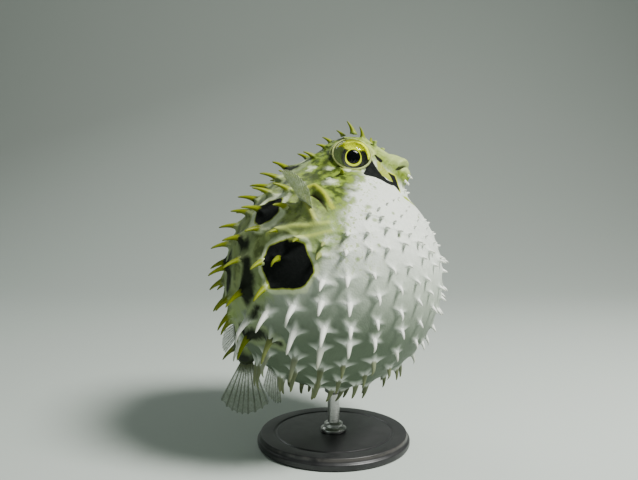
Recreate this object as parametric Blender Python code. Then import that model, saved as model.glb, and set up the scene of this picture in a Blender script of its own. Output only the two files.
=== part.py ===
"""An inflated burrfish as a life-size display model, held by a plain stand.

The fish is shaped in its own frame, in millimetres: x runs to the mouth, y to the fish's
left and z to its back, with the middle of the blown-up belly at the origin.  A rounded
solid is the zero surface of one distance-like function, read by casting rays outwards.
The model's frame is metres with +Z up and its origin under the middle of the stand's base.
"""
import math

import bmesh
import bpy
import numpy as np
from mathutils import Matrix

MM = 0.001
GAP = 0.3                                    # clearance between pieces that touch, mm

# The body, in millimetres of the fish's own frame
BALL_R = 72.0                                # blown-up body, across and high
BALL_LONG = 73.0                             # the same, along the body
SKULL = ((30, 0, 40), (56, 0, 36), 33.0, 29.0)      # from, to, radius there
SNOUT = ((64.5, 0, 30), (79.5, 0, 17.5), 23.5, 10.5)
PEDUNCLE = ((-58, 0, 26), (-81.5, 0, 12.5), 17.0, 7.0)
ORBIT_AT, ORBIT_R = (67.7, 16.2, 39.0), (16.3, 13.5, 15.8)
UPPER_LIP_AT, UPPER_LIP_R = (85.0, 0, 13.9), (5.8, 8.6, 3.1)
LOWER_LIP_AT, LOWER_LIP_R = (81.7, 0, 8.5), (4.4, 7.4, 2.5)
MOUTH_AT, MOUTH_R = (91.0, 0, 11.2), (7.0, 8.0, 0.7)
EYE_AT, EYE_R = (68.2, 20.4, 36.5), 13.0
EYE_SIDES, EYE_ROWS = 20, 11
NOSTRIL_AT, NOSTRIL_R, NOSTRIL_TALL = (84.2, 7.6, 35.0), 1.8, 4.6
HEAD_CUT_X = 45.4                            # the head is what lies in front of this
TAIL_CUT_X = -60.5                           # and the tail what lies behind this

# Rays that find the surface leave from a point that slides along the body
RAY_FROM_MOUTH = (50.0, 0.0, 13.3)
RAY_FROM_TAIL = (-66.0, 0.0, 10.0)
RAY_STOPS = (0.0, 0.20, 0.36, 0.80, 0.93, 1.0)
RAY_TILTS = (0.0, 62.0, 64.0, 140.0, 145.0, 180.0)
RAY_SLIDES = (0.0, 0.0, 1.0, 1.0, 2.0, 2.0)
ROUND_STEPS = 26

# Spines stand in rings round the body, each ring half a step on from the last
SPINE_RINGS = 14
FIRST_RING, RING_STEP, RING_GROWTH = 45.4, 5.63, 0.25       # degrees from the mouth
RING_CUP, RING_TURN, RING_TWIST = 4.6, 12.6, -0.45          # how rings tip, start and creep round
SPINES_A_RING = 22
BACK_SPREAD = 1.6                            # how much wider apart they stand above the flanks
SPINE_SIDES = 3
SPINE_ROOT = 3.1                             # widest root radius, mm
HEAD_SPINES = (                              # degrees from mouth, degrees from back, length
    (31.8, 22.0, 9.5), (29.0, 9.0, 8.5), (36.0, 19.0, 6.0), (41.8, 12.0, 7.0), (43.5, 20.0, 6.5),
    (49.0, 24.0, 8.0), (38.2, 55.0, 5.5), (54.0, 8.0, 8.5),
)
FLANK_SPINES = (                             # the same, for those at the ends of the skin folds
    (83.2, 75.5, 9.5), (79.5, 87.0, 8.5), (92.2, 86.2, 9.0), (73.5, 97.8, 6.0),
)
FOLDS = ((38.0, 58.5, 16.0), (37.0, 61.5, 4.0), (30.0, 64.5, -3.0), (22.0, 68.0, 4.0),
         (14.0, 69.5, 10.0), (6.0, 70.0, 14.0), (-2.0, 70.0, 6.0), (-4.0, 70.5, -6.0),
         (4.0, 71.5, 1.0))
FOLD_CLEAR = 9.0                             # no ringed spine within this of the folds' middles
SPINE_SEED = 7

# Fins: middle of the root, way along the root, way out, root length, fin length, spread
FINS = {
    "caudal_fin": ((-86.0, 0, 8.0), (0.65, 0, -0.76), (-0.76, 0, -0.65), 11.0, 34.0, 29.0),
    "dorsal_fin": ((-74.6, 0, 30.6), (-0.66, 0, -0.75), (-0.93, 0, 0.10), 10.0, 15.0, 14.0),
    "anal_fin": ((-73.3, 0, -9.0), (-0.12, 0, 0.99), (-0.76, 0, -0.65), 9.0, 22.0, 14.0),
    "pectoral_fin_left": ((29.4, 62.9, 16.6), (0.10, 0.28, -0.95), (0.44, 0.63, 0.63),
                          11.0, 24.0, 24.0),
    "pectoral_fin_right": ((29.4, -62.9, 16.6), (0.10, -0.28, -0.95), (0.44, -0.63, 0.63),
                           11.0, 24.0, 24.0),
}
FIN_THICK = 0.9
FIN_SUNK = 2.5                               # how deep a root sits in its slot

# The stand and the pose, metres and degrees
BASE_R, BASE_TALL, BASE_EDGE = 0.052, 0.008, 0.0015
ROD_R = 0.004
ROD_SUNK = 0.010
BALL_HEIGHT = 0.114                          # middle of the body above the floor
ROLL, YAW, PITCH, LEAN = 22.0, 8.0, 50.0, 8.0


# ---------------------------------------------------------------- shape functions

def smooth_min(a, b, width):
    """The lower of two fields, with a rounded meeting of the given width."""
    h = np.clip(0.5 + 0.5 * (b - a) / width, 0.0, 1.0)
    return b + (a - b) * h - width * h * (1.0 - h)


def ellipsoid(points, centre, radii):
    """Distance-like field of an ellipsoid: below zero inside."""
    radii = np.asarray(radii, float)
    q = points - np.asarray(centre, float)
    near = np.linalg.norm(q / radii, axis=-1)
    slope = np.linalg.norm(q / radii ** 2, axis=-1)
    return near * (near - 1.0) / np.maximum(slope, 1e-9)


def capsule(points, start, end, start_r, end_r, squeeze=1.0):
    """Distance to a tapered capsule, made slimmer across by the squeeze factor."""
    scale = np.array([1.0, squeeze, 1.0])
    start, end = np.asarray(start, float), np.asarray(end, float)
    q, axis = (points - start) * scale, (end - start) * scale
    h = np.clip(q @ axis / (axis @ axis), 0.0, 1.0)
    return np.linalg.norm(q - h[..., None] * axis, axis=-1) - (start_r + (end_r - start_r) * h)


def body_field(points):
    """The fish without fins, spines and sockets, alike on both sides."""
    q = np.array(points, float)
    q[..., 1] = np.abs(q[..., 1])
    head = smooth_min(capsule(q, *SKULL, squeeze=0.95), capsule(q, *SNOUT), 8.0)
    head = smooth_min(head, ellipsoid(q, ORBIT_AT, ORBIT_R), 4.0)
    body = smooth_min(head, ellipsoid(q, (-1, 0, 0), (BALL_LONG, BALL_R, BALL_R)), 16.0)
    body = smooth_min(body, capsule(q, *PEDUNCLE, squeeze=1.15), 8.0)
    lips = smooth_min(ellipsoid(q, UPPER_LIP_AT, UPPER_LIP_R),
                      ellipsoid(q, LOWER_LIP_AT, LOWER_LIP_R), 0.6)
    return smooth_min(body, lips, 3.5)


def cast(origins, ways, reach=140.0, steps=71, halvings=24):
    """Where each ray first leaves the body: marched outwards, then halved down."""
    low = np.zeros(origins.shape[:-1])
    high = np.full(origins.shape[:-1], reach)
    done = np.zeros(origins.shape[:-1], bool)
    stops = np.linspace(0.0, reach, steps)
    for before, at in zip(stops[:-1], stops[1:]):
        left = ~done & (body_field(origins + ways * at) > 0)
        low[left], high[left] = before, at
        done |= left
    for _ in range(halvings):
        middle = (low + high) / 2
        inside = body_field(origins + ways * middle[..., None]) <= 0
        low, high = np.where(inside, middle, low), np.where(inside, high, middle)
    return origins + ways * ((low + high) / 2)[..., None]


def normals(points, step=0.05):
    """Outward unit normals of the body's surface, from the field's slope."""
    slope = np.stack([body_field(points + step * axis) - body_field(points - step * axis)
                      for axis in np.eye(3)], axis=-1)
    return slope / np.linalg.norm(slope, axis=-1, keepdims=True)


def unit(vector):
    vector = np.asarray(vector, float)
    return vector / np.linalg.norm(vector, axis=-1, keepdims=True)


# ---------------------------------------------------------------- making objects

def material(name, colour, roughness, metallic=0.0):
    made = bpy.data.materials.new(name)
    made.use_nodes = True
    shader = made.node_tree.nodes["Principled BSDF"]
    shader.inputs["Base Color"].default_value = (*colour, 1.0)
    shader.inputs["Roughness"].default_value = roughness
    shader.inputs["Metallic"].default_value = metallic
    return made


def add_object(name, mesh, parent=None, look=None, tool=False):
    made = bpy.data.objects.new(name, mesh)
    made.parent = parent
    bpy.context.scene.collection.objects.link(made)
    if look is not None:
        mesh.materials.append(look)
        mesh.shade_smooth()
        mesh.set_sharp_from_angle(angle=math.radians(40))
    if tool:
        made.hide_render = True
        made.display_type = "WIRE"
    return made


def mesh_from(name, points, faces):
    mesh = bpy.data.meshes.new(name)
    mesh.from_pydata([tuple(p) for p in np.asarray(points, float) * MM], [], faces)
    mesh.validate()
    return mesh


def tube_faces(rows, around, first=0):
    """Quads between the rows of a closed tube, facing out when rows run to +x."""
    return [(first + i * around + j, first + (i + 1) * around + j,
             first + (i + 1) * around + (j + 1) % around, first + i * around + (j + 1) % around)
            for i in range(rows - 1) for j in range(around)]


def cut(target, tool, operation="DIFFERENCE"):
    change = target.modifiers.new(tool.name, "BOOLEAN")
    change.operation = operation
    change.solver = "EXACT"
    change.object = tool


def ball_tool(name, centre, radii, parent, columns=16, rows=8):
    """A round cutter: a sphere of latitude rings stretched to the given radii."""
    shape = bmesh.new()
    bmesh.ops.create_uvsphere(shape, u_segments=columns, v_segments=rows, radius=1.0)
    for vertex in shape.verts:
        vertex.co = [(centre[i] + radii[i] * vertex.co[i]) * MM for i in range(3)]
    mesh = bpy.data.meshes.new(name)
    shape.to_mesh(mesh)
    shape.free()
    return add_object(name, mesh, parent, tool=True)


# ---------------------------------------------------------------- flesh

def flesh_shape():
    """The whole body: rings of ray hits from mouth to tail, closed by one point at each end."""
    along = np.concatenate([np.linspace(0.016, 0.075, 5), np.linspace(0.105, 0.34, 9),
                            np.linspace(0.385, 0.90, 13), np.linspace(0.93, 0.98, 4)])
    tilt = np.radians(np.interp(along, RAY_STOPS, RAY_TILTS))[:, None]
    slide = np.interp(along, RAY_STOPS, RAY_SLIDES)[:, None, None]
    turn = (np.arange(ROUND_STEPS) / ROUND_STEPS * 2 * math.pi)[None, :]
    origins = (np.clip(1 - slide, 0, 1) * np.array(RAY_FROM_MOUTH)
               + np.clip(slide - 1, 0, 1) * np.array(RAY_FROM_TAIL)) + 0 * turn[..., None]
    ways = np.stack([np.cos(tilt) + 0 * turn, -np.sin(tilt) * np.sin(turn),
                     np.sin(tilt) * np.cos(turn)], axis=-1)
    rings = cast(origins, ways)
    ends = cast(np.array([RAY_FROM_MOUTH, RAY_FROM_TAIL]), np.array([[1.0, 0, 0], [-1.0, 0, 0]]))
    rows = len(along)
    faces = tube_faces(rows, ROUND_STEPS)
    front, back = rows * ROUND_STEPS, rows * ROUND_STEPS + 1
    last = (rows - 1) * ROUND_STEPS
    for j in range(ROUND_STEPS):
        after = (j + 1) % ROUND_STEPS
        faces.append((front, j, after))
        faces.append((back, last + after, last + j))
    shape = bmesh.new()
    shape.from_mesh(mesh_from("flesh", np.vstack([rings.reshape(-1, 3), ends]), faces))
    bmesh.ops.recalc_face_normals(shape, faces=shape.faces)
    return shape


def flesh_piece(name, whole, low_x, high_x, parent, look):
    """The slice of the body between two planes across it, closed with flat ends."""
    shape = whole.copy()
    for x, side in ((low_x, -1.0), (high_x, 1.0)):
        if x is None:
            continue
        found = bmesh.ops.bisect_plane(
            shape, geom=shape.verts[:] + shape.edges[:] + shape.faces[:], dist=1e-7,
            plane_co=(x * MM, 0, 0), plane_no=(side, 0, 0), clear_outer=True)
        edges = [part for part in found["geom_cut"] if isinstance(part, bmesh.types.BMEdge)]
        bmesh.ops.holes_fill(shape, edges=edges, sides=0)
    bmesh.ops.recalc_face_normals(shape, faces=shape.faces)
    mesh = bpy.data.meshes.new(name)
    shape.to_mesh(mesh)
    shape.free()
    return add_object(name, mesh, parent, look)


# ---------------------------------------------------------------- spines

def spine_way(theta, phi):
    """Direction from the body's middle: theta from the mouth, phi from the back, to the right."""
    theta, phi = math.radians(theta), math.radians(phi)
    return np.array([math.cos(theta), -math.sin(theta) * math.sin(phi),
                     math.sin(theta) * math.cos(phi)])


def spine_length(theta, phi):
    """Short under the throat and belly, long on the flanks near the tail, even on the back."""
    belly = 5.0 + 5.0 * np.clip((theta - 65.0) / 60.0, 0.0, 1.0)
    flank = 5.0 + 12.0 * np.clip((theta - 55.0) / 70.0, 0.0, 1.0)
    back = 12.5
    low = belly + (flank - belly) * np.clip((150.0 - abs(phi)) / 40.0, 0.0, 1.0)
    return back + (low - back) * np.clip((abs(phi) - 65.0) / 25.0, 0.0, 1.0)


def clear_of_cuts(theta, phi):
    """The nearest place along the body that keeps a root off the parting planes."""
    for shift in (0, 1, -1, 2, -2, 3, -3, 4, -4, 5, -5):
        hit = cast(np.zeros(3)[None], spine_way(theta + shift, phi)[None])[0]
        if min(abs(hit[0] - HEAD_CUT_X), abs(hit[0] - TAIL_CUT_X)) > SPINE_ROOT + 0.7:
            return hit
    return None


def near_other_parts(hit, foot):
    """True where a spine would stand in an eye, in a fin or its way, or by the rod."""
    mirrored = np.array([hit[0], abs(hit[1]), hit[2]])
    if np.linalg.norm(mirrored - EYE_AT) < EYE_R + 5.5 or np.linalg.norm(hit - foot) < 8.5:
        return True
    if any(np.linalg.norm(mirrored - np.array(point)) < FOLD_CLEAR for point in FOLDS):
        return True
    for middle, _, out, root_long, long, _ in FINS.values():
        along = np.clip((hit - middle) @ unit(out), 0.0, 0.8 * long)
        if np.linalg.norm(hit - middle - along * unit(out)) < root_long / 2 + 4.5:
            return True
    return False


def spine_sites(foot):
    """Root, normal and length of every spine, ring by ring, then those of the head."""
    chance = np.random.default_rng(SPINE_SEED)
    sites = []
    for ring in range(SPINE_RINGS):
        theta = FIRST_RING + RING_STEP * ring + RING_GROWTH * ring ** 2
        fill = min(1.0, math.sin(math.radians(theta)) / 0.8) if theta > 90 else 1.0
        space = 360.0 / round(SPINES_A_RING * fill)
        up = (180.0 - RING_TURN - RING_TWIST * ring - 0.5 * (ring % 2) * space) % space
        turn = 180.0
        while turn > 0.0:
            wobble, stretch = chance.uniform(-1.6, 1.6, 2), chance.uniform(0.88, 1.12)
            turn = 180.0 - up if up < 90.0 else 90.0 - BACK_SPREAD * (up - 90.0)
            turn = 0.0 if turn < 0.45 * space else 180.0 if up < 0.3 * space else turn
            tilt = theta + RING_CUP * math.cos(math.radians(turn))
            up += space
            if tilt < 60.0 and turn < 100.0:
                continue                     # the head has its own
            for side in (1, -1) if 0.0 < turn < 180.0 else (1,):
                hit = clear_of_cuts(tilt + wobble[0], side * (turn + wobble[1]))
                if hit is not None and not near_other_parts(hit, foot):
                    sites.append((hit, spine_length(tilt, turn) * stretch))
    for theta, phi, length in HEAD_SPINES + FLANK_SPINES:
        for side in (1, -1):
            hit = clear_of_cuts(theta, phi * side)
            if hit is not None:
                sites.append((hit, length))
    return sites


def spine_solid(root, normal, length):
    """Points of one bent three-sided spine, leaning back and down along the body."""
    drift = np.array([-0.85, 0.0, -0.50 if root[2] < 30 else -0.1])
    lean = drift - (drift @ normal) * normal
    lean = lean / max(np.linalg.norm(lean), 1e-6)
    across = np.cross(normal, lean)
    root_r = SPINE_ROOT * min(1.0, 0.35 + length / 18.0)
    rows = []
    for out, radius in ((-1.6, 1.12 * root_r), (0.40 * length, 0.36 * root_r)):
        share = max(out / length, 0.0)
        middle = root + normal * out + lean * length * (0.28 * share + 0.30 * share ** 2)
        turns = np.arange(SPINE_SIDES) / SPINE_SIDES * 2 * math.pi
        rows.append(middle + radius * (np.cos(turns)[:, None] * lean
                                       + np.sin(turns)[:, None] * across))
    tip = root + normal * (0.90 * length) + lean * length * 0.58
    return np.vstack(rows + [tip])


def spine_tool(name, sites, parent):
    """All spines of one part of the body, as closed bodies in one object."""
    points, faces = [], []
    for root, length in sites:
        normal = normals(root[None])[0]
        first = len(points)
        points.extend(spine_solid(root, normal, length))
        n = SPINE_SIDES
        faces.extend(tube_faces(2, n, first))
        faces.append(tuple(first + j for j in range(n)))
        faces.extend((first + n + j, first + 2 * n, first + n + (j + 1) % n) for j in range(n))
    shape = bmesh.new()
    shape.from_mesh(mesh_from(name, points, faces))
    bmesh.ops.recalc_face_normals(shape, faces=shape.faces)
    mesh = bpy.data.meshes.new(name)
    shape.to_mesh(mesh)
    shape.free()
    return add_object(name, mesh, parent, tool=True)


# ---------------------------------------------------------------- fins

def fin_mesh(name, fin, thick, start, stop, widen=0.0, columns=10, rows=6):
    """A thin fan: rays spread evenly from a straight root and end on a rounded edge."""
    middle, along, out, root_long, long, spread = FINS[fin]
    along, out = unit(along), unit(out)
    side = unit(np.cross(out, along))
    s = np.linspace(-1.0 - widen, 1.0 + widen, columns)[:, None, None]
    t = np.linspace(start, stop, rows)[None, :, None]
    turn = np.radians(spread) * s
    reach = np.where(t > 0, t * long * (1.0 - 0.16 * s ** 2), t * long)
    ray = out * np.cos(turn) + along * np.sin(turn)
    sheet = np.asarray(middle, float) + along * (root_long / 2) * s + ray * reach
    half = side * (thick / 2) * (1.0 - 0.35 * np.clip(t, 0, 1)) + 0 * s
    grid = np.concatenate([(sheet + half).reshape(-1, 3), (sheet - half).reshape(-1, 3)])
    back = columns * rows
    faces = []
    for i in range(columns - 1):
        for j in range(rows - 1):
            a, b, c, d = (i * rows + j, (i + 1) * rows + j, (i + 1) * rows + j + 1, i * rows + j + 1)
            faces.append((a, b, c, d))
            faces.append((back + d, back + c, back + b, back + a))
    edge = ([i * rows for i in range(columns)]
            + [(columns - 1) * rows + j for j in range(1, rows)]
            + [i * rows + rows - 1 for i in range(columns - 2, -1, -1)]
            + [j for j in range(rows - 2, 0, -1)])
    for here, after in zip(edge, edge[1:] + edge[:1]):
        faces.append((here, back + here, back + after, after))
    shape = bmesh.new()
    shape.from_mesh(mesh_from(name, grid, faces))
    bmesh.ops.recalc_face_normals(shape, faces=shape.faces)
    mesh = bpy.data.meshes.new(name)
    shape.to_mesh(mesh)
    shape.free()
    return mesh


def add_fin(fin, holder, parent, look):
    """A fin in its own node, its root sunk into a slot with clearance all round."""
    long = FINS[fin][4]
    sunk = FIN_SUNK / long
    add_object(fin, fin_mesh(fin, fin, FIN_THICK, -sunk, 1.0), parent, look)
    slot = fin_mesh(fin + "_slot", fin, FIN_THICK + 2 * GAP, -sunk - GAP / long, 0.5,
                    widen=2.4 * GAP / (FINS[fin][3] / 2))
    cut(holder, add_object(fin + "_slot", slot, parent, tool=True))


# ---------------------------------------------------------------- eyes and nostrils

def add_eye(side, head, parent, look):
    """An eyeball with the same facets as its socket, which is larger by the gap."""
    word = "left" if side > 0 else "right"
    centre = (EYE_AT[0], side * EYE_AT[1], EYE_AT[2])
    socket = ball_tool("socket_" + word, centre, (EYE_R + GAP,) * 3, parent, EYE_SIDES, EYE_ROWS)
    cut(head, socket)
    shape = bmesh.new()
    bmesh.ops.create_uvsphere(shape, u_segments=EYE_SIDES, v_segments=EYE_ROWS,
                              radius=EYE_R * MM)
    bmesh.ops.translate(shape, verts=shape.verts, vec=[c * MM for c in centre])
    mesh = bpy.data.meshes.new("eye_" + word)
    shape.to_mesh(mesh)
    shape.free()
    add_object("eye_" + word, mesh, parent, look)


def nostril_tool(side, parent):
    """A short blunt tube over each nostril, slightly wider at its rim."""
    at = np.array([NOSTRIL_AT[0], side * NOSTRIL_AT[1], NOSTRIL_AT[2]])
    axis = unit((0.80, side * 0.25, 0.55))
    across = unit(np.cross(axis, (0, 0, 1.0)))
    over = np.cross(axis, across)
    turns = np.arange(8) / 8 * 2 * math.pi
    rows = [at + axis * out + radius * (np.cos(turns)[:, None] * across
                                        + np.sin(turns)[:, None] * over)
            for out, radius in ((-3.0, NOSTRIL_R), (NOSTRIL_TALL * 0.7, NOSTRIL_R * 0.8),
                                (NOSTRIL_TALL, NOSTRIL_R * 1.1))]
    faces = tube_faces(3, 8) + [tuple(range(8)), tuple(16 + j for j in range(8))]
    shape = bmesh.new()
    shape.from_mesh(mesh_from("nostril", np.vstack(rows), faces))
    bmesh.ops.recalc_face_normals(shape, faces=shape.faces)
    mesh = bpy.data.meshes.new("nostril")
    shape.to_mesh(mesh)
    shape.free()
    return add_object("nostril_" + ("left" if side > 0 else "right"), mesh, parent, tool=True)


# ---------------------------------------------------------------- stand and pose

def cylinder(name, radius, low, high, sides, look=None, edge=0.0, tool=False):
    """An upright cylinder on the stand's axis, its top edge bevelled where asked."""
    shape = bmesh.new()
    bmesh.ops.create_cone(shape, cap_ends=True, segments=sides, radius1=radius, radius2=radius,
                          depth=high - low)
    bmesh.ops.translate(shape, verts=shape.verts, vec=(0, 0, (high + low) / 2))
    if edge:
        rim = [e for e in shape.edges if all(v.co.z > high - 1e-6 for v in e.verts)]
        bmesh.ops.bevel(shape, geom=rim, offset=edge, segments=2, profile=0.5, affect="EDGES")
    mesh = bpy.data.meshes.new(name)
    shape.to_mesh(mesh)
    shape.free()
    return add_object(name, mesh, None, look, tool)


def turn_about(axis, degrees):
    """Rotation matrix about one axis of the frame, by the right-hand rule."""
    c, s = math.cos(math.radians(degrees)), math.sin(math.radians(degrees))
    i, j = {"x": (1, 2), "y": (2, 0), "z": (0, 1)}[axis]
    turn = np.eye(3)
    turn[i, i] = turn[j, j] = c
    turn[i, j], turn[j, i] = -s, s
    return turn


def pose_matrix():
    """Belly rolled to the front, head turned to the front, nose raised, then leaned back."""
    return (turn_about("x", -LEAN) @ turn_about("y", -PITCH)
            @ turn_about("z", -YAW) @ turn_about("x", -ROLL))


def build():
    for old in list(bpy.data.objects):
        bpy.data.objects.remove(old)

    skin = material("skin", (0.46, 0.50, 0.33), 0.45)
    fin_look = material("fin", (0.36, 0.40, 0.26), 0.4)
    eye_look = material("eye", (0.55, 0.55, 0.05), 0.1)
    wood = material("stand", (0.10, 0.10, 0.11), 0.35)
    steel = material("rod", (0.62, 0.62, 0.62), 0.3, 1.0)

    turn = pose_matrix()
    fish = bpy.data.objects.new("fish", None)
    bpy.context.scene.collection.objects.link(fish)
    fish.matrix_world = Matrix.Translation((0, 0, BALL_HEIGHT)) @ Matrix(turn.tolist()).to_4x4()

    whole = flesh_shape()
    head = flesh_piece("head", whole, HEAD_CUT_X + GAP / 2, None, fish, skin)
    trunk = flesh_piece("trunk", whole, TAIL_CUT_X + GAP / 2, HEAD_CUT_X - GAP / 2, fish, skin)
    tail = flesh_piece("tail", whole, None, TAIL_CUT_X - GAP / 2, fish, skin)
    whole.free()

    foot = cast(np.zeros(3)[None], (turn.T @ np.array([0, 0, -1.0]))[None])[0]
    sites = spine_sites(foot)
    cut(head, spine_tool("head_spines", [s for s in sites if s[0][0] > HEAD_CUT_X], fish), "UNION")
    cut(trunk, spine_tool("trunk_spines",
                          [s for s in sites if TAIL_CUT_X < s[0][0] < HEAD_CUT_X], fish), "UNION")
    cut(tail, spine_tool("tail_spines", [s for s in sites if s[0][0] < TAIL_CUT_X], fish), "UNION")
    for side in (1, -1):
        cut(head, nostril_tool(side, fish), "UNION")
        add_eye(side, head, fish, eye_look)
    cut(head, ball_tool("mouth", MOUTH_AT, MOUTH_R, fish))
    for fin, holder in (("caudal_fin", tail), ("dorsal_fin", tail), ("anal_fin", tail),
                        ("pectoral_fin_left", trunk), ("pectoral_fin_right", trunk)):
        add_fin(fin, holder, fish, fin_look)

    body_foot = BALL_HEIGHT - np.linalg.norm(foot) * MM
    rod_low = BASE_TALL - ROD_SUNK * 0.5
    rod_high = body_foot + ROD_SUNK
    gap = GAP * MM
    cylinder("stand_rod", ROD_R, rod_low, rod_high, 16, steel)
    cut(trunk, cylinder("rod_socket", ROD_R + gap, body_foot - 0.012, rod_high + gap, 16,
                        tool=True))
    base = cylinder("stand_base", BASE_R, 0.0, BASE_TALL, 48, wood, edge=BASE_EDGE)
    cut(base, cylinder("base_socket", ROD_R + gap, rod_low - gap, BASE_TALL + 0.01, 16, tool=True))


build()
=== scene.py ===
"""A life-size burrfish, blown up, on a plain display stand: its skin, spines, eyes and fins.

The fish is shaped in its own frame, in millimetres: x runs to the mouth, y to the fish's
left and z to its back, with the middle of the blown-up belly at the origin.  pose_matrix and
to_model carry it into the model's frame of metres, where the stand's foot is at the origin.
"""
import math

import bpy
import numpy as np
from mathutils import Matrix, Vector


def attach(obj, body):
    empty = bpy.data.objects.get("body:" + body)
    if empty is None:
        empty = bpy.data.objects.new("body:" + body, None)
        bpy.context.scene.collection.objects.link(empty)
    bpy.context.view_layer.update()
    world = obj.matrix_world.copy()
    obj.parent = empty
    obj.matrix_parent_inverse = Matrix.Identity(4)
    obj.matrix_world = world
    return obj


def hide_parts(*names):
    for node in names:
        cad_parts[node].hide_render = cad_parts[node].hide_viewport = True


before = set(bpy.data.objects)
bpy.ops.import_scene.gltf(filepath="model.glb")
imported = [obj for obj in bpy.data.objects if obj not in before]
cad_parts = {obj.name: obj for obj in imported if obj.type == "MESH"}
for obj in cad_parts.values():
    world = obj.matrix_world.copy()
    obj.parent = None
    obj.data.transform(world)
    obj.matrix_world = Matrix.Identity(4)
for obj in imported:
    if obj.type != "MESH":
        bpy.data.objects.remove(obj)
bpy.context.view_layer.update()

MM = 0.001

# The body, in millimetres of the fish's own frame
BALL_AT, BALL_R, BALL_LONG = (-1, 0, 0), 72.0, 73.0
SKULL = ((30, 0, 40), (56, 0, 36), 33.0, 29.0)  # from, to, radius there
SNOUT = ((64.5, 0, 30), (79.5, 0, 17.5), 23.5, 10.5)
PEDUNCLE = ((-58, 0, 26), (-81.5, 0, 12.5), 17.0, 7.0)
ORBIT_AT, ORBIT_R = (67.7, 16.2, 39.0), (16.3, 13.5, 15.8)
UPPER_LIP_AT, UPPER_LIP_R = (85.0, 0, 13.9), (5.8, 8.6, 3.1)
LOWER_LIP_AT, LOWER_LIP_R = (81.7, 0, 8.5), (4.4, 7.4, 2.5)
MOUTH_Z, MOUTH_WIDE, MOUTH_DEEP, MOUTH_TALL = 11.2, 9.4, 5.0, 1.4
EYE_AT, EYE_R, EYE_GAP = np.array((68.2, 20.4, 36.5)), 13.0, 0.15
LID_AXIS = np.array((0.586, 0.804, -0.066))  # the way the opening between the lids faces
IRIS_AXIS = np.array((0.259, 0.83, -0.498))  # and the way the eye looks
EYE_UP = np.array((0.759, 0.142, 0.636))
NOSTRIL_AT, NOSTRIL_WAY = np.array((84.2, 7.6, 35.0)), (0.80, 0.25, 0.55)
HEAD_CUT_X, TAIL_CUT_X = 45.4, -60.5
SNOUT_MEETS, ORBIT_MEETS, BALL_MEETS, TAIL_MEETS = 8.0, 4.0, 16.0, 8.0  # widths of the rounded
LIPS_MEET, MOUTH_MEETS = 0.6, 3.5  # meetings of these forms with what they grow from

# Rays that find the surface leave from a point that slides along the body
RAY_FROM_MOUTH = (50.0, 0.0, 9.9)
RAY_FROM_TAIL = (-66.0, 0.0, 10.0)
RAY_STOPS = (0.0, 0.20, 0.36, 0.80, 0.93, 1.0)
RAY_TILTS = (0.0, 62.0, 64.0, 140.0, 145.0, 180.0)
RAY_SLIDES = (0.0, 0.0, 1.0, 1.0, 2.0, 2.0)
ROW_STOPS = (0.0, 0.20, 0.235, 0.36, 0.80, 0.93, 1.0)  # the skin's rings lie closest
ROW_SHARES = (0.0, 0.29, 0.41, 0.55, 0.81, 0.94, 1.0)  # together on the face
SKIN_ROWS, SKIN_ROUND = 344, 288

# Spines stand in rings round the body, each ring half a step on from the last
SPINE_RINGS = 14
FIRST_RING, RING_STEP, RING_GROWTH = 45.4, 5.63, 0.25  # degrees from the mouth
RING_CUP, RING_TURN, RING_TWIST = 4.6, 12.6, -0.45  # how rings tip, start and creep round
SPINES_A_RING = 22
BACK_SPREAD = 1.6  # how much wider apart they stand above the flanks
SPINE_ROOT, BACK_LENGTH = 3.1, 12.5  # widest root radius, length on the back, mm
HEAD_SPINES = (  # degrees from mouth, degrees from back, length
    (31.8, 22.0, 9.5), (29.0, 9.0, 8.5), (36.0, 19.0, 6.0), (41.8, 12.0, 7.0), (43.5, 20.0, 6.5),
    (49.0, 24.0, 8.0), (38.2, 55.0, 5.5), (54.0, 8.0, 8.5),
)
FLANK_SPINES = (  # the same, for those at the ends of the skin folds
    (83.2, 75.5, 9.5), (79.5, 87.0, 8.5), (92.2, 86.2, 9.0), (73.5, 97.8, 6.0),
)
CHIN_SPINES = (  # places near the skin, length
    (84.0, 2.0, 4.6, 3.0), (80.0, 2.6, 3.2, 3.4), (75.4, 3.6, -0.6, 3.2),
)
THROAT_RINGS = ((39.8, 3.4), (33.0, 2.8), (26.4, 2.3), (20.2, 2.0))  # degrees, length
FOLDS = ((38.0, 58.5, 16.0), (37.0, 61.5, 4.0), (30.0, 64.5, -3.0), (22.0, 68.0, 4.0),
         (14.0, 69.5, 10.0), (6.0, 70.0, 14.0), (-2.0, 70.0, 6.0), (-4.0, 70.5, -6.0),
         (4.0, 71.5, 1.0))
FOLD_CLEAR, EYE_CLEAR, ROD_CLEAR = 9.0, 5.5, 8.5  # no ringed spine stands nearer to these
FIN_CLEAR, CUT_CLEAR = 4.5, 0.7
SPINE_SEED = 7

# Fins: middle of the root, way along the root, way out, root length, fin length, spread, rays
SIDES = (("left", 1), ("right", -1))
PECTORAL = ((29.4, 62.9, 16.6), (0.10, 0.28, -0.95), (0.44, 0.63, 0.63))
FINS = {
    "caudal_fin": ((-86.0, 0, 8.0), (0.65, 0, -0.76), (-0.76, 0, -0.65), 11.0, 34.0, 29.0, 9),
    "dorsal_fin": ((-74.6, 0, 30.6), (-0.66, 0, -0.75), (-0.93, 0, 0.10), 10.0, 15.0, 14.0, 8),
    "anal_fin": ((-73.3, 0, -9.0), (-0.12, 0, 0.99), (-0.76, 0, -0.65), 9.0, 22.0, 14.0, 8),
}
for word, side in SIDES:
    FINS["pectoral_fin_" + word] = (*[(x, side * y, z) for x, y, z in PECTORAL],
                                    11.0, 24.0, 24.0, 13)
FIN_SUNK = 2.5

# The stand and the pose, metres and degrees
BASE_R, BASE_TALL = 0.052, 0.008
ROD_R, ROD_SUNK = 0.004, 0.010
BALL_HEIGHT = 0.114
ROLL, YAW, PITCH, LEAN = 22.0, 8.0, 50.0, 8.0


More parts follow.
